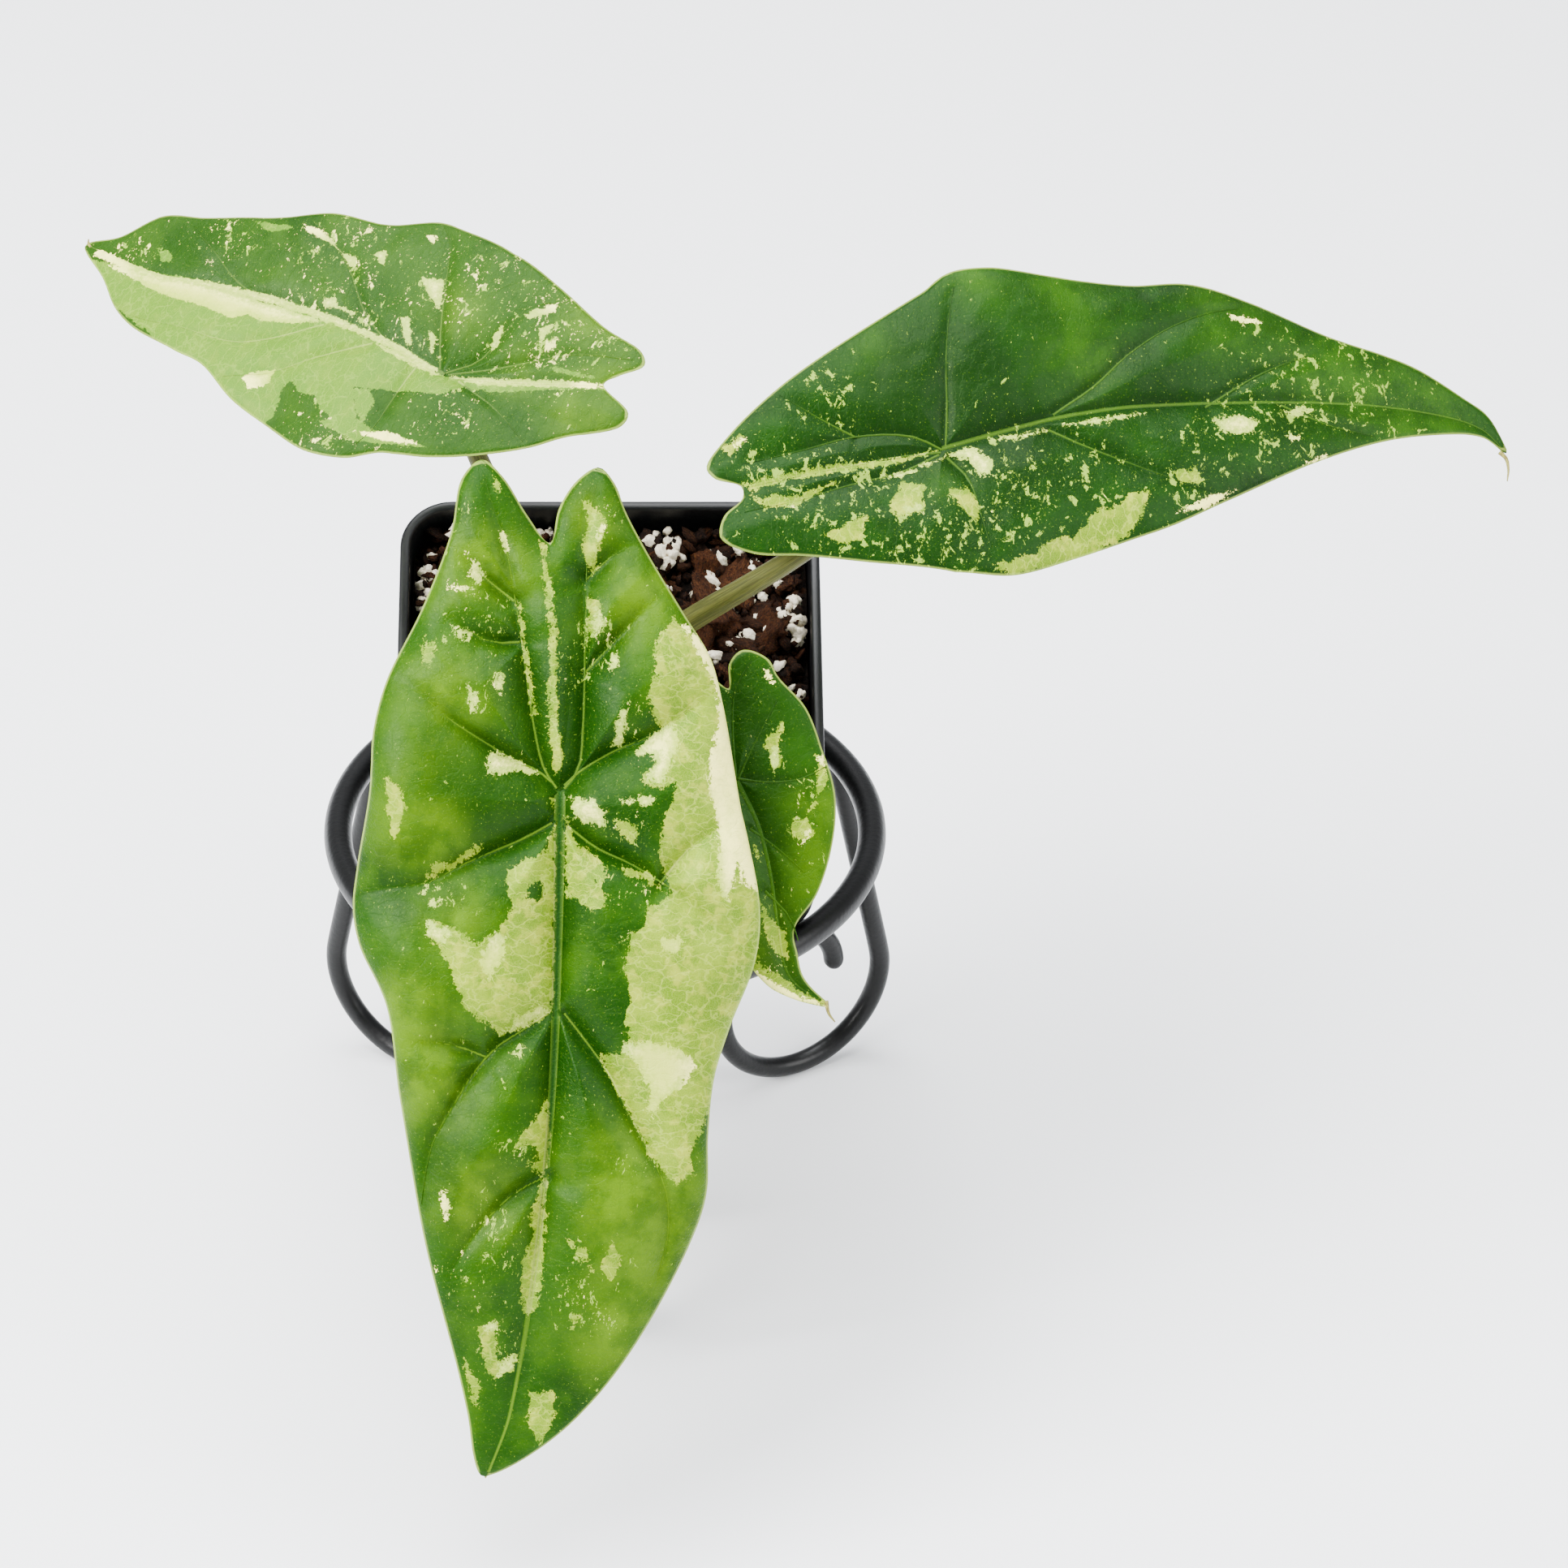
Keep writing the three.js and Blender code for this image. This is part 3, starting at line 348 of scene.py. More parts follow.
def line_distance(points, path):
    """Distance of each 2-D point to a polyline, and how far along it the nearest place is (0 to 1)."""
    best, share = np.full(len(points), np.inf), np.zeros(len(points))
    run = runs(path)
    for k in range(len(path) - 1):
        d = path[k + 1] - path[k]
        t = np.clip(((points - path[k]) @ d) / max(d @ d, 1e-9), 0, 1)
        r = np.linalg.norm(points - path[k] - t[:, None] * d, axis=1)
        nearer = r < best
        best = np.where(nearer, r, best)
        share = np.where(nearer, (run[k] + t * (run[k + 1] - run[k])) / run[-1], share)
    return best, share


def inside_distance(points, polygon):
    """Signed distance to a polygon's edge, positive inside."""
    closed = np.vstack([polygon, polygon[:1]])
    far, _ = line_distance(points, closed)
    inside = np.zeros(len(points), bool)
    for (x0, y0), (x1, y1) in zip(closed[:-1], closed[1:]):
        if y1 != y0:
            crosses = (y0 > points[:, 1]) != (y1 > points[:, 1])
            inside ^= crosses & (points[:, 0] < (x1 - x0) * (points[:, 1] - y0) / (y1 - y0) + x0)
    return np.where(inside, far, -far)


def circle(sides):
    """The cosine and sine of each step round a circle."""
    return [(math.cos(2 * math.pi * k / sides), math.sin(2 * math.pi * k / sides)) for k in range(sides)]


def to_row(points):
    """From millimetres about the ring's axis to the row frame in metres."""
    return np.asarray(points, float) * MM + SHIFT


def from_pot(points):
    """From the pot's own leaning frame to millimetres about the ring's axis."""
    x, y, z = np.asarray(points, float).T
    c, s = math.cos(POT_LEAN), math.sin(POT_LEAN)
    return np.stack([x, y * c - z * s, y * s + z * c], 1) + POT_RIM_CENTRE


# Meshes
def show(name, data):
    """An object of the scene that holds data."""
    thing = bpy.data.objects.new(name, data)
    bpy.context.scene.collection.objects.link(thing)
    return thing


def make_piece(name, points, faces, material, replaces=None, slot=None, **attributes):
    mesh = bpy.data.meshes.new(name)
    mesh.from_pydata([tuple(p) for p in to_row(points)], [], faces)
    for key, values in attributes.items():
        values = np.asarray(values, np.float32)
        kind, field = ("FLOAT_VECTOR", "vector") if values.ndim == 2 else ("FLOAT", "value")
        mesh.attributes.new(key, kind, "POINT").data.foreach_set(field, values.ravel())
    mesh.polygons.foreach_set("use_smooth", [True] * len(mesh.polygons))
    mesh.update()
    piece = show(name, mesh)
    mesh.materials.append(material)
    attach(piece, "root")
    if replaces:
        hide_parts(replaces)
    return piece


def bands(rows, count, first=0, closed=False, flip=False):
    """Quads between rows of count points, each row a closed loop."""
    faces = []
    for k in range(rows if closed else rows - 1):
        a, b = first + k * count, first + (k + 1) % rows * count
        for i in range(count):
            j = (i + 1) % count
            faces.append((a + i, b + i, b + j, a + j) if flip else (a + i, a + j, b + j, b + i))
    return faces


def tube(path, radii, sides):
    """Points and faces of a capped round rod, with (along, round) in mm for its material."""
    tangent = np.gradient(path, axis=0)
    tangent /= np.linalg.norm(tangent, axis=1)[:, None]
    side = np.cross(tangent[0], (0.3, 0.2, 1.0))
    points, flat = [], []
    for centre, ahead, radius, run in zip(path, tangent, radii, runs(path)):
        side = side - ahead * (side @ ahead)
        side /= np.linalg.norm(side)
        other = np.cross(ahead, side)
        for c, s in circle(sides):
            points.append(centre + radius * (c * side + s * other))
            flat.append((run, c * 3, s * 3))
    last = (len(path) - 1) * sides
    caps = [tuple(reversed(range(sides))), tuple(range(last, last + sides))]
    return np.array(points), bands(len(path), sides) + caps, np.array(flat)


# Materials
class Shader:
    """A material and short names for the nodes that it is built from. A colour is a six-figure code."""

    def __init__(self, name):
        self.material = bpy.data.materials.new(name)
        self.material.use_nodes = True
        self.tree = self.material.node_tree
        self.out = self.tree.nodes["Principled BSDF"]

    def node(self, kind, inputs, **settings):
        n = self.tree.nodes.new(kind)
        for key, value in settings.items():
            setattr(n, key, value)
        for key, value in inputs.items():
            self.put(n.inputs[key], value)
        return n

    def put(self, socket, value):
        if isinstance(value, bpy.types.NodeSocket):
            self.tree.links.new(value, socket)
        else:
            socket.default_value = rgb(value) if isinstance(value, str) else value

    def attribute(self, name, output="Fac"):
        return self.node("ShaderNodeAttribute", {}, attribute_name=name).outputs[output]

    def place(self):
        return self.node("ShaderNodeTexCoord", {}).outputs["Object"]

    def stretch(self, vector, scale):
        return self.node("ShaderNodeMapping", {"Vector": vector, "Scale": scale}).outputs[0]

    def noise(self, vector, scale, detail=3.0, roughness=0.55, distortion=0.0, output="Fac"):
        return self.node("ShaderNodeTexNoise", {
            "Vector": vector, "Scale": scale, "Detail": detail, "Roughness": roughness,
            "Distortion": distortion}).outputs[output]

    def cracks(self, vector, scale, width):
        """1 on the lines of a net, 0 in its cells."""
        n = self.node("ShaderNodeTexVoronoi", {"Vector": vector, "Scale": scale}, feature="DISTANCE_TO_EDGE")
        return self.step(n.outputs["Distance"], 0.0, width, 1.0, 0.0)

    def vector(self, operation, a, b):
        return self.node("ShaderNodeVectorMath", {0: a, 1: b}, operation=operation).outputs[0]

    def math(self, operation, a, b):
        return self.node("ShaderNodeMath", {0: a, 1: b}, operation=operation).outputs[0]

    def add(self, total, *terms):
        for term in terms:
            total = self.math("ADD", total, term)
        return total

    def times(self, a, b):
        return self.math("MULTIPLY", a, b)

    def step(self, value, low, high, to_low=0.0, to_high=1.0):
        return self.node("ShaderNodeMapRange", {
            "Value": value, "From Min": low, "From Max": high, "To Min": to_low,
            "To Max": to_high}, interpolation_type="SMOOTHSTEP").outputs[0]

    def clouds(self, low, high, *kind, share=1.0):
        """Noise cut off softly between low and high, up to share."""
        cloud = self.step(self.noise(*kind), low, high)
        return cloud if share == 1.0 else self.times(cloud, share)

    def fray(self, reach, *kind):
        """Noise about zero, by which an edge wanders."""
        return self.times(self.add(self.noise(*kind), -0.5), reach)

    def mix(self, share, a, b):
        return self.node("ShaderNodeMix", {0: share, 6: a, 7: b}, data_type="RGBA").outputs[2]

    def bump(self, height, strength, distance):
        inputs = {"Height": height, "Strength": strength, "Distance": distance}
        return self.node("ShaderNodeBump", inputs).outputs[0]

    def finish(self, **inputs):
        for key, value in inputs.items():
            self.put(self.out.inputs[key.replace("_", " ")], value)
        return self.material


def rgb(code):
    """A colour in the scene's linear values from its usual six-figure code."""
    parts = [int(code[k:k + 2], 16) / 255 for k in (0, 2, 4)]
    return tuple(c / 12.92 if c <= 0.04045 else ((c + 0.055) / 1.055) ** 2.4 for c in parts) + (1.0,)


def leaf_material(name, tones, pale_depth, ragged, speck, white, dusty, ribs, across):
    """Waxy blade. Sectors come from the mesh's signed distances, roughened here into ragged edges."""
    s = Shader(name)
    flat, rim, under = s.attribute("flat", "Vector"), s.attribute("rim"), s.attribute("under")
    wander = s.vector("MULTIPLY", s.noise(flat, 0.5, 2.0, 0.5, output="Color"), (2.2, 2.2, 2.2))
    bent = s.vector("ADD", flat, wander)
    dark, middle, light, yellow, vein = tones
    # The greens
    green = s.mix(s.clouds(0.34, 0.56, flat, 0.05, 4.0, 0.55), dark, middle)
    green = s.mix(s.clouds(0.44, 0.7, flat, 0.11, 4.0, 0.6, share=0.7), green, light)
    patchy = s.step(s.noise(flat, 0.13, 4.0, 0.6), 0.38, 0.6, 0.4)
    green = s.mix(s.times(s.attribute("tint"), patchy), green, yellow)
    # Painted shade: darker green in the dark spots, where the blade dips, mostly round the navel
    green = s.mix(s.attribute("shade"), green, dark)
    # Painted shade: darker green beside the midrib and veins
    green = s.mix(s.times(s.attribute("groove_and_painted_shade"), 0.75), green, dark)
    # The net of fine veins, a finer mesh in it, and the grain of the skin
    net = s.cracks(s.stretch(bent, (1.0, 0.42, 1.0)), 0.52, 0.07)
    mesh = s.cracks(bent, 1.7, 0.09)
    grain = s.step(s.noise(flat, 3.0, 4.0, 0.7), 0.35, 0.65)
    green = s.mix(s.times(net, 0.1), green, light)
    green = s.mix(s.times(grain, 0.16), green, dark)
    green = s.mix(s.clouds(0.61, 0.66, flat, 2.0, 3.0, 0.65, share=dusty), green, "64820e")
    # The pale sectors
    pale_tone = s.mix(s.clouds(0.4, 0.62, flat, 0.14, 4.0, 0.65), "5c7806", "7e9412")
    pale_tone = s.mix(s.times(grain, 0.3), pale_tone, "4c6c0c")
    pale_tone = s.mix(s.clouds(0.5, 0.62, flat, 0.2, 4.0, 0.7, share=0.55), pale_tone, "a8ac30")
    pale_tone = s.mix(pale_depth, pale_tone, "466c18")
    net_tone, mesh_tone = s.mix(pale_depth, "aab640", "86a43c"), s.mix(pale_depth, "9cae36", "7a9a34")
    pale_tone = s.mix(s.times(net, 0.5 - 0.28 * pale_depth), pale_tone, net_tone)
    pale_tone = s.mix(s.times(mesh, 0.32 - 0.1 * pale_depth), pale_tone, mesh_tone)
    frayed = s.add(s.fray(4.6 * ragged, flat, 0.5, 5.0, 0.7), s.fray(2.2 * ragged, flat, 2.2, 3.0, 0.6))
    pale = s.step(s.add(s.attribute("pale"), frayed), -0.1, 0.1)
    # The cream sectors, with a green fringe and a warmer tone inside the blade
    frayed = s.add(s.fray(5.0 * ragged, flat, 0.7, 5.0, 0.72, 0.5), s.fray(2.0 * ragged, flat, 2.4, 3.0, 0.6))
    cream_depth = s.add(s.attribute("cream"), frayed)
    cream = s.step(cream_depth, -0.12, 0.12)
    inner = s.step(rim, 4.0, 8.0)
    fringe = s.step(s.add(cream_depth, s.fray(3.4, flat, 1.3)), 0.2, 2.4, 1.0, 0.0)
    within = s.times(s.step(rim, 5.0, 10.0), s.step(s.attribute("pale"), 0.5, 4.0))
    cream_tone = s.mix(s.clouds(0.4, 0.7, flat, 0.2, 4.0, 0.6), "f2ec84", "d2d46c")
    cream_tone = s.mix(s.times(net, 0.25), cream_tone, "c9cf6e")
    cream_tone = s.mix(s.times(inner, 0.25), cream_tone, "b4c050")
    cream_tone = s.mix(s.times(s.times(fringe, inner), 0.85), cream_tone, "84a030")
    cream_tone = s.mix(s.times(within, 0.72), cream_tone, "a6b638")
    # Flecks, large and small, thicker where the blade says so
    density = s.times(s.attribute("fleck"), s.step(s.noise(flat, 0.16, 3.0, 0.6), 0.38, 0.58, 0.6, 1.12))
    lean = s.stretch(flat, (2.0 - across, across, 1.0))
    large = s.step(s.add(s.noise(lean, 0.45, 5.0, 0.7, 0.5), s.times(density, 0.115)), 0.68, 0.7)
    small = s.step(s.add(s.noise(lean, 1.5, 3.0, 0.65), s.times(density, speck)), 0.695, 0.72)
    bright = s.step(s.add(s.noise(lean, 0.35), s.times(density, 0.04)), white, white + 0.08)
    color = s.mix(s.math("MAXIMUM", large, small), green, s.mix(bright, "7c982e", "d0cf70"))
    color = s.mix(cream, s.mix(pale, color, pale_tone), cream_tone)
    # Rib lines, margin and underside
    light_part = s.math("MAXIMUM", pale, cream)
    color = s.mix(s.times(s.attribute("rib"), ribs), color, s.mix(light_part, vein, "b9c062"))
    # Painted shade at the bottom of the deep midrib furrow, fading towards the tip
    color = s.mix(s.attribute("furrow_shade"), color, "0f340c")
    color = s.mix(s.step(rim, 0.15, 0.5, 0.5, 0.0), color, "9cb04c")
    color = s.mix(s.times(under, 0.45), color, "6f8a48")
    gloss = s.add(0.28, s.times(s.noise(flat, 0.8, 4.0), 0.12), s.times(under, 0.2),
                  s.times(light_part, 0.04))
    relief = s.add(s.times(net, -0.5), s.times(mesh, -0.25), s.times(s.noise(flat, 1.6, 4.0, 0.6), 0.7))
    return s.finish(Base_Color=color, Roughness=gloss, Normal=s.bump(relief, 0.4, 0.0003),
                    Specular_IOR_Level=0.11, Specular_Tint=(0.6, 1.0, 0.38, 1.0),
                    Coat_Weight=0.04, Coat_Roughness=0.25, Subsurface_Weight=0.05,
                    Subsurface_Radius=(0.6, 1.0, 0.2), Subsurface_Scale=0.0012)


def stalk_material():
    s = Shader("stalk_skin")
    flat = s.attribute("flat", "Vector")
    streak = s.noise(s.stretch(flat, (0.12, 2.2, 2.2)), 1.0, 4.0, 0.65)
    blotch = s.clouds(0.55, 0.7, s.stretch(flat, (0.6, 1.6, 1.6)), 2.4, share=0.45)
    color = s.mix(blotch, s.mix(s.step(streak, 0.38, 0.66), "3b3e10", "595a22"), "4a3a1c")
    return s.finish(Base_Color=color, Roughness=s.add(0.42, s.times(streak, 0.15)),
                    Normal=s.bump(streak, 0.5, 0.0004), Specular_IOR_Level=0.2)


def tip_material():
    s = Shader("dry_tip")
    color = s.mix(s.clouds(0.4, 0.6, s.attribute("flat", "Vector"), 1.2), "5a4a14", "8c8a34")
    return s.finish(Base_Color=color, Roughness=0.6)


def stem_material():
    s = Shader("stem_skin")
    ring = s.noise(s.stretch(s.place(), (120, 120, 900)), 1.0, 4.0, 0.6)
    color = s.mix(s.step(ring, 0.4, 0.6), "3a4014", "5a4a22")
    return s.finish(Base_Color=color, Roughness=0.6, Normal=s.bump(ring, 0.6, 0.0006))


def pot_material():
    s = Shader("pot_plastic")
    place = s.place()
    dust = s.noise(place, 60.0, 5.0, 0.6)
    scuff = s.noise(s.stretch(place, (40, 40, 300)), 1.0, 4.0, 0.7)
    grain = s.noise(place, 2600.0, 2.0)
    color = s.mix(s.times(s.step(dust, 0.45, 0.75), 0.5), "08090a", "141618")
    normal = s.bump(s.add(s.times(grain, 0.5), s.times(dust, 0.5)), 0.18, 0.0004)
    rough = s.add(0.3, s.times(scuff, 0.16), s.times(grain, 0.06))
    return s.finish(Base_Color=color, Roughness=rough, Normal=normal, Specular_IOR_Level=0.3)


def stand_material():
    s = Shader("stand_coating")
    place = s.place()
    wear = s.noise(place, 70.0, 4.0, 0.6)
    color = s.mix(s.step(wear, 0.35, 0.7), "050505", "0a0a0b")
    normal = s.bump(s.noise(place, 900.0, 2.0), 0.22, 0.0003)
    return s.finish(Base_Color=color, Roughness=s.add(0.3, s.times(wear, 0.12)), Normal=normal,
                    Specular_IOR_Level=0.24)


def bark_material():
    s = Shader("bark")
    flat, tone = s.attribute("flat", "Vector"), s.attribute("tone")
    fibre = s.noise(s.stretch(flat, (0.45, 2.6, 2.6)), 1.0, 6.0, 0.72)
    color = s.mix(tone, "140b07", "542c15")
    color = s.mix(s.times(s.step(fibre, 0.42, 0.66), 0.7), color, s.mix(tone, "382011", "8a5730"))
    # Painted shade: nearly black specks standing in for the crevices in the bark
    color = s.mix(s.clouds(0.48, 0.6, flat, 1.9, 5.0, 0.7, share=0.7), color, "0c0603")
    normal = s.bump(s.add(fibre, s.times(s.noise(flat, 3.0, 5.0, 0.7), 1.1)), 1.0, 0.002)
    return s.finish(Base_Color=color, Roughness=s.add(0.62, s.times(fibre, 0.25)), Normal=normal,
                    Specular_IOR_Level=0.12)


def crumb_material():
    s = Shader("crumb")
    place = s.place()
    fine = s.noise(place, 900.0, 5.0, 0.7)
    color = s.mix(s.step(fine, 0.35, 0.65), "060402", "150c06")
    color = s.mix(s.clouds(0.58, 0.68, place, 320.0), color, "2e1a0b")
    return s.finish(Base_Color=color, Roughness=0.85, Specular_IOR_Level=0.1,
                    Normal=s.bump(fine, 1.0, 0.0012))


def perlite_material():
    s = Shader("perlite")
    place = s.place()
    pores = s.noise(place, 1500.0, 4.0, 0.65)
    color = s.mix(s.step(pores, 0.3, 0.55), "b8a888", "e2d8c4")
    color = s.mix(s.clouds(0.55, 0.7, place, 260.0, share=0.35), color, "a58f7c")
    return s.finish(Base_Color=color, Roughness=0.8, Normal=s.bump(pores, 0.7, 0.0005))


def floor_material():
    s = Shader("floor")
    return s.finish(Base_Color=s.mix(s.noise(s.place(), 2.2), "e9eaec", "f1f2f4"), Roughness=0.6)


# Blades
def blade_frame(leaf):
    """The navel and the blade's three directions: towards the tip, to the side, out of its face."""
    face = np.array(leaf["face"], float)
    face /= np.linalg.norm(face)
    along = np.array(leaf["along"], float)
    along -= face * (along @ face)
    along /= np.linalg.norm(along)
    return np.array(leaf["navel"], float), along, np.cross(face, along), face


def blade_height(leaf, u, side):
    """How far the bent blade lies out of its plane."""
    arch = np.where(u > 0, leaf["arch_tip"], leaf["arch_lobe"])
    wave = leaf["wave"] * np.sin(2 * math.pi * u / leaf["wave_length"] + np.where(side > 0, 0, 1.8))
    return -arch * u**2 + leaf["rise"] * np.abs(side) - leaf["curl"] * side**2 + wave * (side / 30) ** 2


def close_to(distance, reach):
    """1 at a line, falling to 0 beyond its reach."""
    return np.exp(-(distance / reach) ** 2)


def half_thickness(rim):
    """Half the thickness of the blade, which thins to its rim."""
    return SHEET * np.clip(rim / 0.8, 0.15, 1)


class Blade:
    """One blade, worked out with its midrib laid straight, and the layers of its mesh."""

    def __init__(self, name):
        self.name, self.leaf, self.marks = name, LEAVES[name], MARKS[name]
        self.frame = blade_frame(self.leaf)
        self.margin = smooth(self.straight(self.leaf["outline"]), 2400, self.leaf["rim"], closed=True)
        self.edge = np.vstack([self.margin[::3], self.margin[:1]])
        self.tip = self.leaf["midrib"][-1][0]
        self.midrib = np.array([(0.0, 0.0), (self.tip * 0.5, 0.0), (self.tip - 1.0, 0.0)])
        self.veins = [smooth(v, 60, max(5, int(np.ptp(v[:, 0]) + np.ptp(v[:, 1])) // 3))
                      for v in map(self.straight, self.marks["veins"])]
        self.layers, self.count = [], 0

    def straight(self, places):
        u, v = places.T
        return np.column_stack([u, v - between(self.leaf["midrib"], u)])

    def relief(self, flat, rim):
        """Height of the quilting over the bent blade, and the painted shade beside the midrib and veins."""
        nearest, along = line_distance(flat, self.midrib)
        groove_and_painted_shade = close_to(nearest, GROOVE["midrib"]) * (1.1 - 0.7 * along)
        # Painted shade beside the midrib and veins, fading towards their ends
        shadow = close_to(nearest, SHADOW["midrib"]) * (1.0 - 0.6 * along)
        nearest = nearest + 3.0 * along**2
        for vein in self.veins:
            gap, share = line_distance(flat, vein)
            groove_and_painted_shade = np.maximum(groove_and_painted_shade, close_to(gap, GROOVE["vein"]) * (0.9 - 0.6 * share))
            shadow = np.maximum(shadow, close_to(gap, SHADOW["vein"]) * (1.0 - 0.8 * share))
            nearest = np.minimum(nearest, gap + 4.0 * share**2)
        round_by = 0.7
        puff = 1 - np.exp(-(np.hypot(nearest, round_by) - round_by) / self.leaf["valley"])
        near_tip = np.clip((flat[:, 0] / self.tip - 0.58) / 0.34, 0, 1)
        fade = (1 - np.exp(-np.maximum(rim, 0) / 6.0)) * (1 - 0.85 * near_tip**2 * (3 - 2 * near_tip))
        seed = self.leaf["seed"]
        ripple = [0.6 * noise.noise(Vector((u * 0.09, v * 0.09, seed)))
                  + 0.16 * noise.noise(Vector((u * 0.28, v * 0.28, seed + 7))) for u, v in flat]
        return self.leaf["quilt"] * puff * fade - 0.3 * groove_and_painted_shade + np.array(ripple) * (0.3 + 0.7 * fade), shadow

    def at(self, flat, lift):
        """Places in space for places on the straightened blade, lifted off its middle."""
        origin, along, across, face = self.frame
        u, side = flat.T
        height = blade_height(self.leaf, u, side) + lift
        return (origin + np.outer(u, along) + np.outer(side + between(self.leaf["midrib"], u), across)
                + np.outer(height, face))

    def add(self, flat, lift, rib=0.0, furrow_shade=0.0, under=0.0, painted_shade_share=1.0):
        """One layer of the mesh, with what its material reads; lift follows the distance to the rim."""
        rim = line_distance(flat, self.edge)[0]
        # The second value from relief is the painted shade beside the midrib and veins, for the material
        height, groove_and_painted_shade = self.relief(flat, rim)
        layer = dict(points=self.at(flat, height + lift(rim)), flat=flat, groove_and_painted_shade=groove_and_painted_shade * painted_shade_share, rim=rim)
        for key, value in dict(rib=rib, furrow_shade=furrow_shade, under=under).items():
            layer[key] = np.broadcast_to(value, len(flat))
        self.layers.append(layer)
        self.count += len(flat)

    def sheet(self, rings, lift, flip, under=0.0):
        """A sheet of rings of points round the navel."""
        first, n = self.count, len(self.margin)
        rows = [np.zeros((1, 2))] + [self.margin * (k / rings) for k in range(1, rings + 1)]
        self.add(np.vstack(rows), lift, under=under)
        faces = []
        for i in range(n):
            j = (i + 1) % n
            faces.append((first, first + 1 + i, first + 1 + j))
            for k in range(rings - 1):
                a, b = first + 1 + k * n + i, first + 1 + k * n + j
                faces.append((a, a + n, b + n, b))
        return [face[::-1] for face in faces] if flip else faces

    def ribbon(self, path, width, end=0.0, furrow=False):
        """A rib line: a ribbon three points wide, a hair above the sheet, narrowing to its end."""
        first, n = self.count, len(path)
        run = np.gradient(path, axis=0)
        run /= np.maximum(np.linalg.norm(run, axis=1), 1e-6)[:, None]
        across = np.stack([-run[:, 1], run[:, 0]], 1) * width * np.linspace(1.0, 0.3, n)[:, None]
        # On a deep furrow the middle line carries painted shade near the navel
        if furrow:  # dark at first, light towards the tip
            light = np.repeat(np.clip(np.linspace(-1.2, 1.3, n), 0, 1), 3)
            rib = np.tile([0.9, 0.0, 0.9], n) * (1 - light) + np.tile([0.1, 0.9, 0.1], n) * light
            dark = np.tile([0.3, 0.9, 0.3], n) * (1 - light)
        else:
            rib, dark = np.tile([0.2, 1.0, 0.2], n) * np.repeat(np.linspace(1, end, n), 3), 0.0
        crest = np.tile([-0.02, RIB["crest"], -0.02], n)
        self.add(np.stack([path - across, path, path + across], 1).reshape(-1, 2),
                 lambda rim: SHEET + crest, rib, dark, painted_shade_share=0.0)
        return [(a, a + 1, a + 4, a + 3) for k in range(n - 1) for a in (first + 3 * k, first + 3 * k + 1)]

    def build(self, material):
        """Upper sheet, underside, the edge between them and the rib lines as one piece."""
        n, rings, below = len(self.margin), self.leaf["rings"], self.leaf["rings"] // 2
        flip = np.cross(self.margin, np.roll(self.margin, -1, 0)).sum() < 0
        faces = self.sheet(rings, half_thickness, flip)
        top = self.count - n
        faces += self.sheet(below, lambda rim: -half_thickness(rim) - 0.4 * np.clip(rim / 5 - 0.2, 0, 1),
                            not flip, under=1.0)
        low = self.count - n
        for i in range(n):
            j = (i + 1) % n
            quad = (top + i, low + i, low + j, top + j)
            faces.append(quad[::-1] if flip else quad)
        furrow = self.leaf.get("deep_midrib", False)
        width = RIB["furrow" if furrow else "midrib"]
        faces += self.ribbon(even(self.midrib, int(self.tip)), width, 0.7, furrow)
        for vein in self.veins:
            faces += self.ribbon(vein, RIB["vein"])
        layers = {key: np.concatenate([layer[key] for layer in self.layers]) for key in self.layers[0]}
        points, flat = layers.pop("points"), layers.pop("flat")
        flat[:, 1] += between(self.leaf["midrib"], flat[:, 0])
        cream = self.sectors(flat, "cream")
        for first, last, near, far in self.marks.get("strips", []):
            run = np.linspace(first, last, 40)
            middle = between(self.leaf["midrib"], run)
            sides = [np.column_stack([run, middle + near]), np.column_stack([run, middle + far])[::-1]]
            cream = np.maximum(cream, inside_distance(flat, np.vstack(sides)))
        # The shade attribute is painted shade, taken from the dark spots
        make_piece(self.name + "_blade", points, faces, material, self.name, self.name + "_skin",
                   flat=np.column_stack([flat, np.full(len(flat), self.leaf["seed"] * 10.0)]),
                   pale=np.minimum(self.sectors(flat, "pale"), -self.sectors(flat, "hole")), cream=cream,
                   fleck=self.leaf["fleck"] * self.spots(flat, "flecks", self.leaf["dust"]),
                   tint=self.spots(flat, "yellow") * 0.85, shade=self.spots(flat, "dark") * 0.8, **layers)

    def spots(self, places, kind, base=0.0):
        """How much each place lies in the soft spots of a kind, 0 to 1."""
        total = np.full(len(places), base)
        for u, v, reach in self.marks[kind]:
            total += close_to(np.hypot(places[:, 0] - u, places[:, 1] - v), 1.15 * reach)
        return np.clip(total, 0, 1)

    def sectors(self, places, kind):
        """How far inside the nearest sector of a kind each place lies."""
        best = np.full(len(places), -60.0)
        for outline in self.marks.get(kind, []):
            best = np.maximum(best, inside_distance(places, outline))
        return best


# Stand
def scroll_path(turn):
    """The middle of a leg's rod: down from the ring, round the scroll and back inside it."""
    s = SCROLL

    def arc(centre, radius, first, last):
        a = np.radians(np.arange(first, last - 0.1, -s["step"]))
        return centre + radius * np.column_stack([np.cos(a), -np.sin(a)])

    # As (radius from the ring's axis, drop below the ring)
    top, centre = np.array([LEG["top_radius"], LEG["top_drop"]]), np.array([s["radius"], s["drop"]])
    outer = arc(centre, s["outer"], LEG["lean"], s["turn"] - 360)
    straight = [top + t * (outer[0] - top) for t in (-LEG["weld"], 0.35, 0.7)]
    a = math.radians(s["turn"])
    centre = centre + (s["outer"] - s["inner"]) * np.array([math.cos(a), -math.sin(a)])
    inner = arc(centre, s["inner"], s["turn"] - s["step"], s["end"])
    radius, drop = np.vstack([straight, outer, inner]).T
    path = np.column_stack([radius * math.cos(turn), radius * math.sin(turn), RING["height"] - drop])
    return smooth(path, 900, 260)


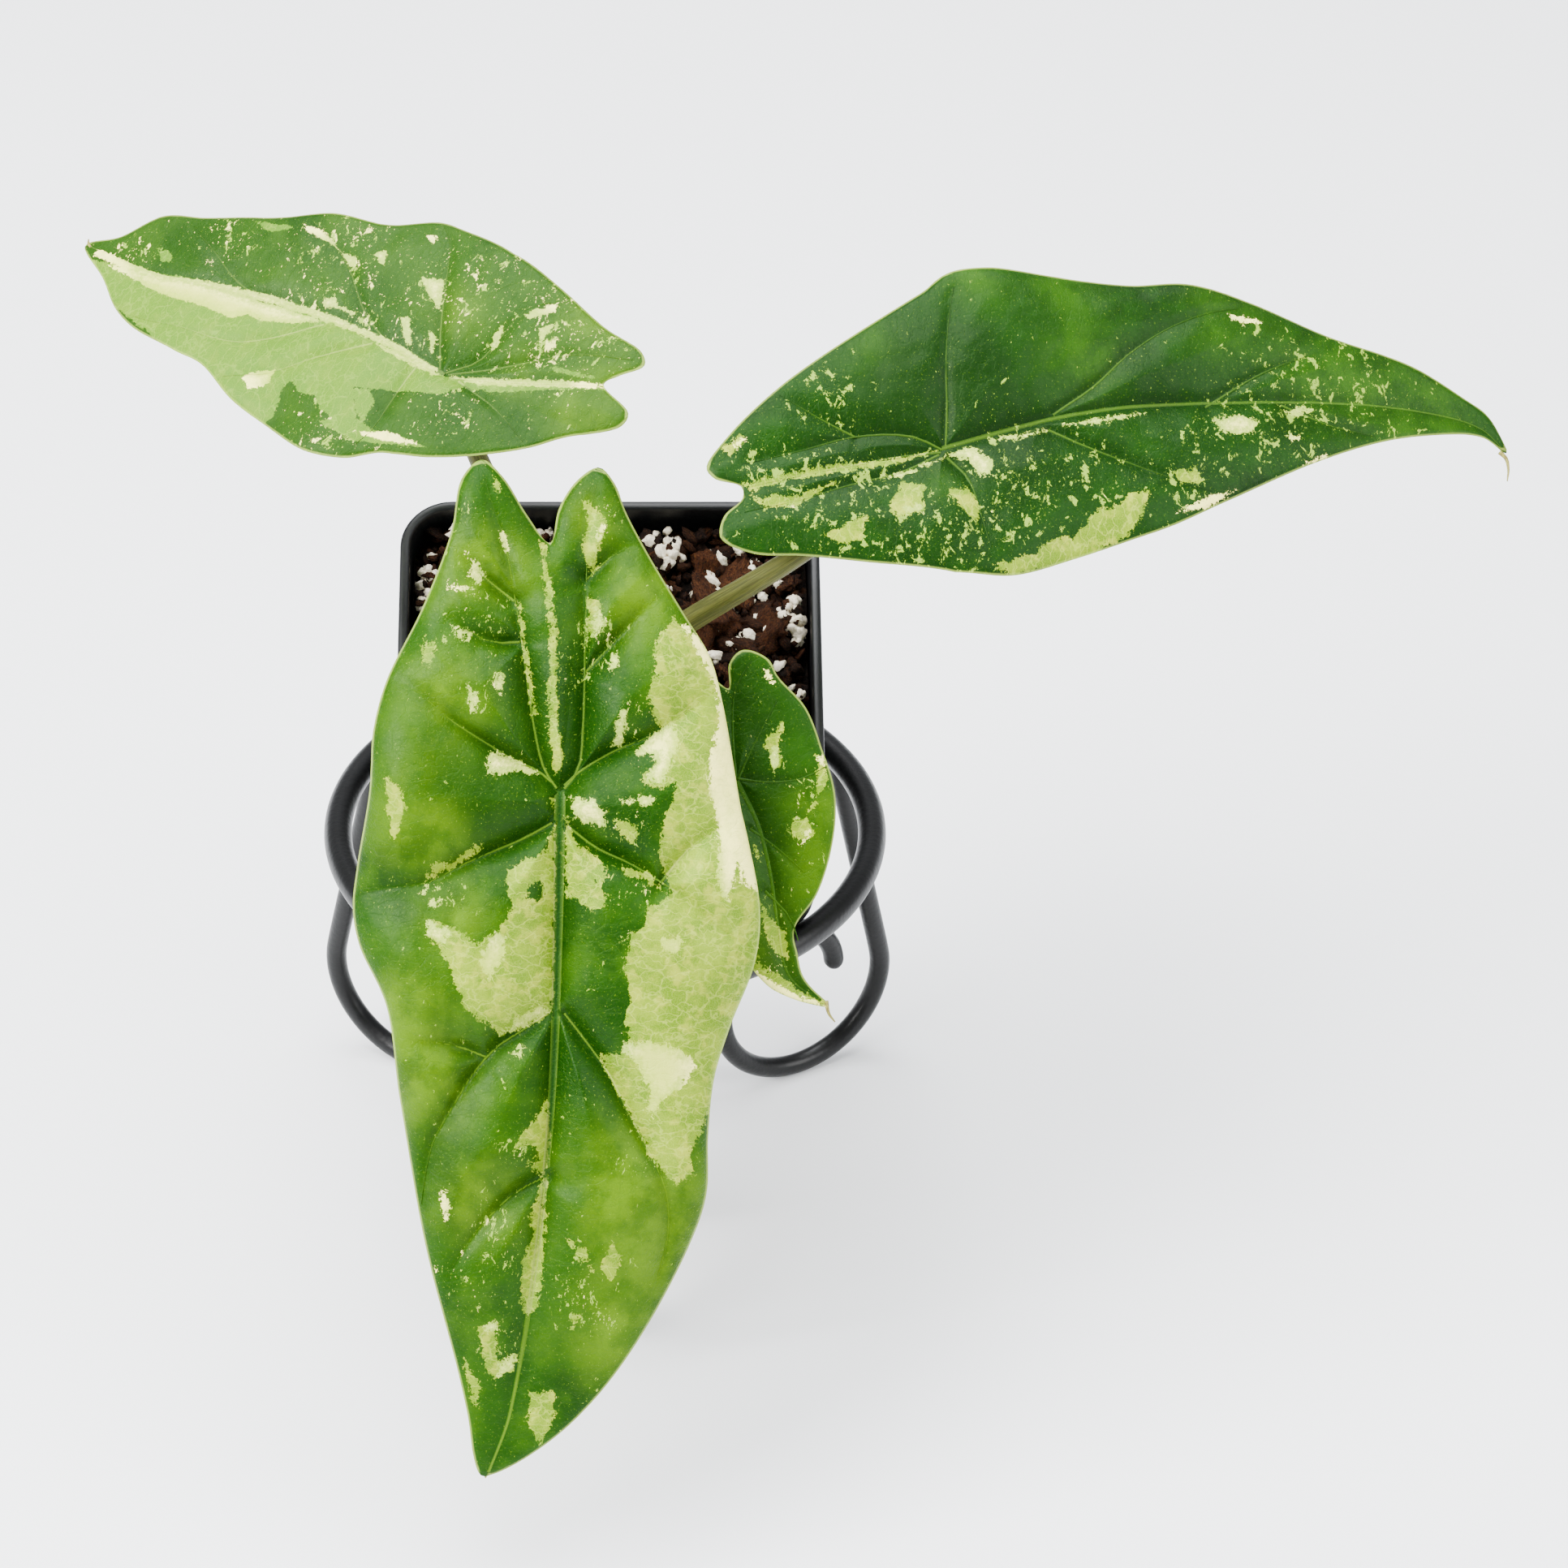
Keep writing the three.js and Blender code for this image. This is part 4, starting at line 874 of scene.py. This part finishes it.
def build_stand(material):
    around, sides = 180, 24
    points = [((RING["radius"] + RING["rod"] * c) * x, (RING["radius"] + RING["rod"] * c) * y,
               RING["height"] + RING["rod"] * s) for x, y in circle(around) for c, s in circle(sides)]
    faces = bands(around, sides, closed=True, flip=True)
    make_piece("ring_rod", points, faces, material, "stand_ring", "stand_coating")
    for name, angle in LEG_ANGLES.items():
        path = scroll_path(math.radians(angle))
        radii = np.full(len(path), LEG["rod"])
        radii[-5:] *= np.sqrt(np.clip(1 - np.linspace(0, 1, 5) ** 2, 0.05, 1))
        points, faces, _ = tube(even(path, len(path)), radii, 20)
        points[:, 2] = np.maximum(points[:, 2], 0.02)
        make_piece(name.replace("stand_", "") + "_rod", points, faces, material, name, "stand_coating")


# Pot
def rounded_square(half, corner, depth, steps=12):
    """A level loop round the pot at a depth below the rim."""
    loop = []
    for quarter in range(4):
        middle = math.radians(45 + 90 * quarter)
        sx, sy = math.copysign(1, math.cos(middle)), math.copysign(1, math.sin(middle))
        for k in range(steps + 1):
            a = math.radians(90 * quarter + 90 * k / steps)
            loop.append((sx * (half - corner) + corner * math.cos(a),
                         sy * (half - corner) + corner * math.sin(a), -depth))
    return loop


def pot_half(depth):
    """Half the pot's outer width at a depth below the rim."""
    top = POT["half"] - POT["lip"]
    if depth <= POT["band"]:
        return top - POT["draft"] * depth / POT["band"]
    under = top - POT["draft"] - POT["band_step"]
    return under - (under - POT["base"]) * (depth - POT["band"]) / (POT["height"] - POT["band"])


def pot_rows():
    """The pot's section as (half width, corner radius, depth): up the outside, over the lip, down inside."""
    c, h, w, band = POT["corner"], POT["height"], POT["wall"], POT["band"]
    out, base, lip = POT["half"], POT["base"], POT["lip_height"]
    mouth = pot_half(0) - w
    rows = [(base - 2.2, 6.0, h), (base - 1.0, 7.0, h), (base - 0.2, 7.6, h - 0.8),
            (pot_half(h - 3), 8.0, h - 3)]
    rows += [(pot_half(d), 9.0 - 1.0 * d / h, d) for d in np.linspace(h - 10, band + 3, 8)]
    rows += [(pot_half(band + 0.9), 9.2, band + 0.9), (pot_half(band) - 0.5, 9.5, band + 0.3),
             (pot_half(band), 9.7, band - 0.4)]
    rows += [(pot_half(d), c, d) for d in (24, 18, 12, 6, lip + 0.5)]
    rows += [(pot_half(0) + 0.1, c, lip + 0.15), (out - 0.25, c + 0.6, lip), (out, c + 0.9, lip - 0.35),
             (out, c + 0.9, 0.75), (out - 0.15, c + 0.8, 0.32), (out - 0.5, c + 0.5, 0.06),
             (out - 0.9, c + 0.2, 0.0), (mouth + 0.45, c - w + 0.4, 0.0), (mouth + 0.1, c - w, 0.25),
             (mouth, c - w, 0.8)]
    rows += [(pot_half(d) - w, c - w, d) for d in (4, 8, 14, band - 2)]
    return rows + [(pot_half(band + 2) - w, 8.0, band + 2), (pot_half(POT_FLOOR) - w, 6.5, POT_FLOOR)]


def build_pot(material):
    rows = pot_rows()
    points = np.vstack([rounded_square(*row) for row in rows])
    n = len(points) // len(rows)
    faces = bands(len(rows), n)
    # Both faces of the floor, with the drainage holes between them
    sides, reach, rims = 24, POT["hole_offset"], []
    holes = [(0, 0), (reach, reach), (-reach, reach), (-reach, -reach), (reach, -reach)]
    for first, depth in ((0, POT["height"]), (len(points) - n, POT_FLOOR)):
        starts = [len(points) + sides * k for k in range(len(holes))]
        points = np.vstack([points, [(x + POT["hole"] * c, y + POT["hole"] * s, -depth)
                                     for x, y in holes for c, s in circle(sides)]])
        edges = [range(first, first + n)] + [range(k, k + sides) for k in starts]
        index = [i for edge in edges for i in edge]
        for triangle in tessellate_polygon([[Vector(points[i]) for i in edge] for edge in edges]):
            a, b, c = (index[i] for i in triangle)
            up = np.cross(points[b] - points[a], points[c] - points[a])[2] > 0
            faces.append((a, b, c) if up == (first > 0) else (c, b, a))
        rims.append(starts)
    for low, high in zip(*rims):
        for i in range(sides):
            j = (i + 1) % sides
            faces.append((low + i, high + i, high + j, low + j))
    shell = make_piece("pot_shell", from_pot(points), faces, material, "pot", "pot_plastic")
    shell.data.set_sharp_from_angle(angle=math.radians(55))


# Potting mix
MIX_CORNER = 8.0
LUMPS = dict(chips=135, crumbs=2500, grains=330, roots=150)
# Where the white grains lie thickest, in the pot's own frame: (x, y, spread)
PERLITE_HEAPS = line("""14,33,4 20,25,5 21,20,4 24,12,5 17,15,3 -37,24,4 -38,16,4 -37,10,3 -13,37,4
    -16,35,3 33,27,3 38,18,3 36,2,4 31,-6,3 12,37,3 6,38,3 39,-14,4 -30,37,3 30,-20,4 -20,-30,5 10,-34,5""")


def room(clearance):
    """Half the width inside the pot at the top of the mix."""
    return pot_half(SOIL_DROP) - POT["wall"] - clearance


def soil_height(x, y):
    swell = 0.9 * (math.sin(x * 0.31 + 1.2) * math.cos(y * 0.27) + 0.6 * math.sin(x * 0.13 - y * 0.19))
    return -SOIL_DROP + swell + 0.9 * noise.noise(Vector((x * 0.22, y * 0.22, 2.0)))


def build_bed(material):
    """The dark body of the mix: rough on top, round at the corners, and closed down to the floor."""
    inner, n = room(0.35), 120
    bend = inner - MIX_CORNER
    points, faces = [], []
    for i in range(n + 1):
        for j in range(n + 1):
            x, y = (2 * i / n - 1) * inner, (2 * j / n - 1) * inner
            sunk = 0.8 if max(abs(x), abs(y)) > inner - 1.5 else 0
            if abs(x) > bend and abs(y) > bend:
                cx, cy = math.copysign(bend, x), math.copysign(bend, y)
                share = max(abs(x - cx), abs(y - cy)) / max(math.hypot(x - cx, y - cy), 1e-6)
                x, y = cx + (x - cx) * share, cy + (y - cy) * share
            rough = 0.8 * noise.noise(Vector((x * 0.9, y * 0.9, 5)))
            fine = 0.4 * noise.noise(Vector((x * 2.1, y * 2.1, 9)))
            points.append((x, y, soil_height(x, y) + rough + fine - sunk))
            if i < n and j < n:
                k = i * (n + 1) + j
                faces.append((k, k + n + 1, k + n + 2, k + 1))
    gap = 0.4
    floor = POT_FLOOR - gap
    rows = [(pot_half(d) - POT["wall"] - gap, corner, d) for d, corner in (
        (SOIL_DROP + 3, 8.0), (POT["band"] - 3, 8.0), (POT["band"] + 3, 8.0), (floor, 6.5))]
    first = len(points)
    for row in rows:
        points += rounded_square(*row)
    around = (len(points) - first) // len(rows)
    faces += bands(len(rows), around, first, flip=True)
    faces.append(tuple(reversed(range(len(points) - around, len(points)))))
    make_piece("mix_bed", from_pot(points), faces, material, "soil", "bark_mix")


def block(size, cuts, rng, rough, bend):
    """A rough chip: a rounded block with its surface broken up."""
    index, points, faces = {}, [], []

    def corner(p):
        key = tuple(round(c, 5) for c in p)
        if key not in index:
            index[key] = len(points)
            points.append(p)
        return index[key]

    for axis in range(3):
        for end in (-1, 1):
            for i in range(cuts):
                for j in range(cuts):
                    quad = []
                    for di, dj in ((0, 0), (1, 0), (1, 1), (0, 1)):
                        q = [0, 0, 0]
                        q[axis] = end
                        q[(axis + 1) % 3] = 2 * (i + di) / cuts - 1
                        q[(axis + 2) % 3] = 2 * (j + dj) / cuts - 1
                        quad.append(corner(tuple(q)))
                    faces.append(tuple(quad if end > 0 else reversed(quad)))
    cube = np.array(points)
    ball = cube / np.linalg.norm(cube, axis=1)[:, None]
    shape = cube * (1 - bend) + ball * 1.25 * bend
    seed = Vector([rng.uniform(-50, 50) for _ in range(3)])
    waves = ((1, 1.2), (0.55, 3.0), (0.3, 7.0))
    push = [sum(share * noise.noise(Vector(p) * scale + seed) for share, scale in waves) for p in shape]
    return shape * (1 + rough * np.array(push))[:, None] * np.array(size) / 2, faces


def turned(points, rng, tip):
    """The points tipped a little both ways and turned to any side."""
    a, b, c = rng.uniform(-tip, tip), rng.uniform(-tip, tip), rng.uniform(0, 2 * math.pi)
    rx = np.array([[1, 0, 0], [0, math.cos(a), -math.sin(a)], [0, math.sin(a), math.cos(a)]])
    ry = np.array([[math.cos(b), 0, math.sin(b)], [0, 1, 0], [-math.sin(b), 0, math.cos(b)]])
    rz = np.array([[math.cos(c), -math.sin(c), 0], [math.sin(c), math.cos(c), 0], [0, 0, 1]])
    return points @ (rz @ ry @ rx).T


class Heap:
    """Many small lumps gathered into one mesh."""

    def __init__(self):
        self.points, self.faces, self.flat, self.tone, self.count = [], [], [], [], 0

    def put(self, points, faces, x, y, rise, local, tone):
        self.faces += [tuple(i + self.count for i in f) for f in faces]
        self.points.append(points + np.array([x, y, soil_height(x, y) + rise]))
        self.flat.append(local + np.array([tone * 40, tone * 17, 0]))
        self.tone.append(np.full(len(points), tone))
        self.count += len(points)

    def piece(self, name, material):
        """All lumps as one mesh, those at the wall pressed flat against it."""
        points = np.vstack(self.points)
        reach = room(0.5)
        points[:, :2] = np.clip(points[:, :2], -reach, reach)
        beyond = np.maximum(np.abs(points[:, :2]) - (reach - MIX_CORNER), 0)
        over = np.maximum(np.linalg.norm(beyond, axis=1) / MIX_CORNER, 1.0)[:, None]
        points[:, :2] -= np.sign(points[:, :2]) * beyond * (1 - 1 / over)
        make_piece(name, from_pot(points), self.faces, material, slot="bark_mix",
                   flat=np.vstack(self.flat), tone=np.concatenate(self.tone))


def has_room(x, y, corner=0.0, reach=math.inf):
    """Clear of the stem, and no further than reach into the round corners."""
    inner = room(0.35) - corner
    return (math.hypot(x - STEM["x"], y - STEM["y"]) > STEM["radius"] + 1.5
            and math.hypot(max(abs(x) - inner, 0), max(abs(y) - inner, 0)) <= reach)


def build_lumps(bark, perlite):
    rng = random.Random(5)
    inner = room(0.35)

    def anywhere(margin):
        return rng.uniform(margin - inner, inner - margin), rng.uniform(margin - inner, inner - margin)

    chips, grains, crumbs = Heap(), Heap(), Heap()
    for _ in range(LUMPS["chips"]):
        x, y = anywhere(4)
        size = (rng.uniform(6, 14), rng.uniform(4, 8.5), rng.uniform(3.5, 6.5))
        if has_room(x, y, 9, 5):
            local, faces = block(size, 8, rng, 0.5, 0.4)
            local[:, 1] *= 1 + rng.uniform(-0.45, 0.45) * local[:, 0] / size[0]
            chips.put(turned(local, rng, 0.75), faces, x, y, rng.uniform(-1.6, 2.2), local, rng.random())
    for _ in range(LUMPS["crumbs"]):
        x, y = anywhere(1.5)
        if has_room(x, y, 8, 6.5):
            s = rng.uniform(0.6, 2.3)
            local, faces = block((s * rng.uniform(0.8, 2.4), s, s * 0.7), 2, rng, 0.6, 0.6)
            crumbs.put(turned(local, rng, 1.5), faces, x, y, rng.uniform(0.4, 3.4), local, rng.random() * 0.6)
    for k in range(LUMPS["grains"]):
        if k % 6:
            hx, hy, spread = PERLITE_HEAPS[k % len(PERLITE_HEAPS)]
            x, y = rng.gauss(hx, spread * 0.95), rng.gauss(hy, spread * 0.95)
        else:
            x, y = anywhere(0)
        x, y = (max(2 - inner, min(inner - 2, c)) for c in (x, y))
        if has_room(x, y, 8, 6):
            s = rng.uniform(1.0, 2.5)
            size = (s * rng.uniform(0.9, 1.4), s, s * rng.uniform(0.7, 1.0))
            local, faces = block(size, 4, rng, 0.55, 0.85)
            grains.put(turned(local, rng, 3), faces, x, y, rng.uniform(1.2, 3.6), local, rng.random())
    for _ in range(LUMPS["roots"]):
        x, y = anywhere(7)
        if has_room(x, y):
            long, bow = rng.uniform(4, 11), rng.uniform(-1.6, 1.6)
            path = np.array([((t - 0.5) * long, bow * math.sin(3.1 * t), 0.4 * math.sin(5 * t))
                             for t in np.linspace(0, 1, 9)])
            points, faces, local = tube(path, np.full(9, rng.uniform(0.16, 0.34)), 5)
            crumbs.put(turned(points, rng, 0.25), faces, x, y, rng.uniform(2.0, 3.4), local,
                       0.3 + 0.7 * rng.random())
    chips.piece("bark_chips", bark)
    crumbs.piece("bark_crumbs", bark)
    grains.piece("perlite_grains", perlite)


# Stem and stalks
STALK_TURN, STALK_END = 3.7, 0.35  # how far behind its blade a stalk turns towards it, and ends


def build_stem(material):
    # As (share of the radius, height over the mix)
    rows = [(0.85, -14.0), (0.98, -4.0), (1.0, -1.0), (1.02, 2.0), (0.97, 4.5), (0.8, 6.6), (0.45, 7.4)]
    sides, points = 40, []
    for share, z in rows:
        for i in range(sides):
            a = 2 * math.pi * i / sides
            r = STEM["radius"] * share * (1 + 0.05 * math.sin(5 * a + z) + 0.03 * math.sin(11 * a))
            points.append((STEM["x"] + r * math.cos(a), STEM["y"] + r * math.sin(a), -SOIL_DROP + z))
    faces = bands(len(rows), sides) + [tuple(range(len(points) - sides, len(points)))]
    make_piece("stem_skin_form", from_pot(points), faces, material, "stem", "stem_skin")


def build_stalks(material):
    top = -SOIL_DROP + STEM["rise"] + 0.3
    for name, stalk in STALKS.items():
        origin, _, _, face = blade_frame(LEAVES[stalk["leaf"]])
        x, y = STEM["x"] + stalk["foot"][0], STEM["y"] + stalk["foot"][1]
        foot = from_pot([(x, y, top), (x, y, top + 5)])
        path = smooth([*foot, *stalk["via"], origin - face * STALK_TURN, origin - face * STALK_END], 700, 130)
        t = np.linspace(0, 1, len(path))
        radii = stalk["foot_radius"] + (stalk["top_radius"] - stalk["foot_radius"]) * np.minimum(1, 1.3 * t)
        flare = 1 + 0.25 * np.clip((t - 0.97) / 0.03, 0, 1)
        points, faces, flat = tube(path, radii * flare, 28)
        make_piece(name + "_skin_form", points, faces, material, name, "stalk_skin", flat=flat)


def build_tips(material):
    for name, leaf in LEAVES.items():
        u0, v0 = leaf["midrib"][-1]
        origin, along, across, face = blade_frame(leaf)
        height = blade_height(leaf, u0, 0.0)
        knots = [origin + along * (u0 - 1.2 + du) + across * (v0 + dv) + face * (height - 0.06 * du**2)
                 for du, dv in TIPS[name]]
        points, faces, flat = tube(smooth(knots, 60, 24), np.linspace(0.5, 0.14, 24), 8)
        make_piece(name + "_tip", points, faces, material, slot=name + "_skin", flat=flat)


# Assembly
build_stand(stand_material())
build_pot(pot_material())
build_bed(crumb_material())
build_lumps(bark_material(), perlite_material())
build_stem(stem_material())
build_stalks(stalk_material())
build_tips(tip_material())
for leaf_name in LEAVES:
    Blade(leaf_name).build(leaf_material(leaf_name + "_skin", TONES[leaf_name], **LOOKS[leaf_name]))

# Floor, light and camera
FLOOR_HALF = 6.0
corners = [(x * FLOOR_HALF, y * FLOOR_HALF, 0) for x, y in ((-1, -1), (1, -1), (1, 1), (-1, 1))]
floor_mesh = bpy.data.meshes.new("floor")
floor_mesh.from_pydata(corners, [], [(0, 1, 2, 3)])
floor_mesh.materials.append(floor_material())
floor = show("floor", floor_mesh)


def area_light(name, place, aim_height, size, power, color=(1, 1, 1)):
    """A square lamp that looks at a point over the middle of the floor."""
    data = bpy.data.lights.new(name, "AREA")
    data.shape, data.size, data.size_y = "RECTANGLE", size, size
    data.energy, data.color = power, color
    light = show(name, data)
    light.location = place
    light.rotation_euler = (Vector((0, 0, aim_height)) - Vector(place)).to_track_quat("-Z", "Y").to_euler()


area_light("key", (-1.45, -0.75, 1.35), 0.12, 1.2, 132, (1.0, 0.995, 0.985))
area_light("overhead", (-0.2, 0.15, 2.0), 0.1, 1.7, 128, (0.97, 0.985, 1.0))
area_light("fill", (1.5, -0.8, 1.1), 0.1, 1.3, 46)

world = bpy.data.worlds.new("studio")
bpy.context.scene.world = world
world.use_nodes = True
sky = world.node_tree.nodes["Background"].inputs
sky["Color"].default_value = (0.93, 0.96, 1.0, 1.0)
sky["Strength"].default_value = 0.75

# The photograph is a cut from a wider picture, so the lens is shifted as far as that cut
CAMERA_PLACE = np.array([0.0, -724.9, 605.9])
CAMERA_PITCH = 34.9
SENSOR = 36.0
FOCAL_PIXELS = 5000.0
FRAME_PIXELS = 1932
CENTRE_PIXEL = 745.5
camera_data = bpy.data.cameras.new("camera")
camera_data.sensor_width = SENSOR
camera_data.lens = SENSOR * FOCAL_PIXELS / FRAME_PIXELS
camera_data.shift_x = (FRAME_PIXELS / 2 - CENTRE_PIXEL) / FRAME_PIXELS
camera_data.clip_start, camera_data.clip_end = 0.05, 30.0
camera = show("camera", camera_data)
camera.location = to_row(CAMERA_PLACE)
camera.rotation_euler = (math.radians(90 - CAMERA_PITCH), 0, 0)
bpy.context.scene.camera = camera
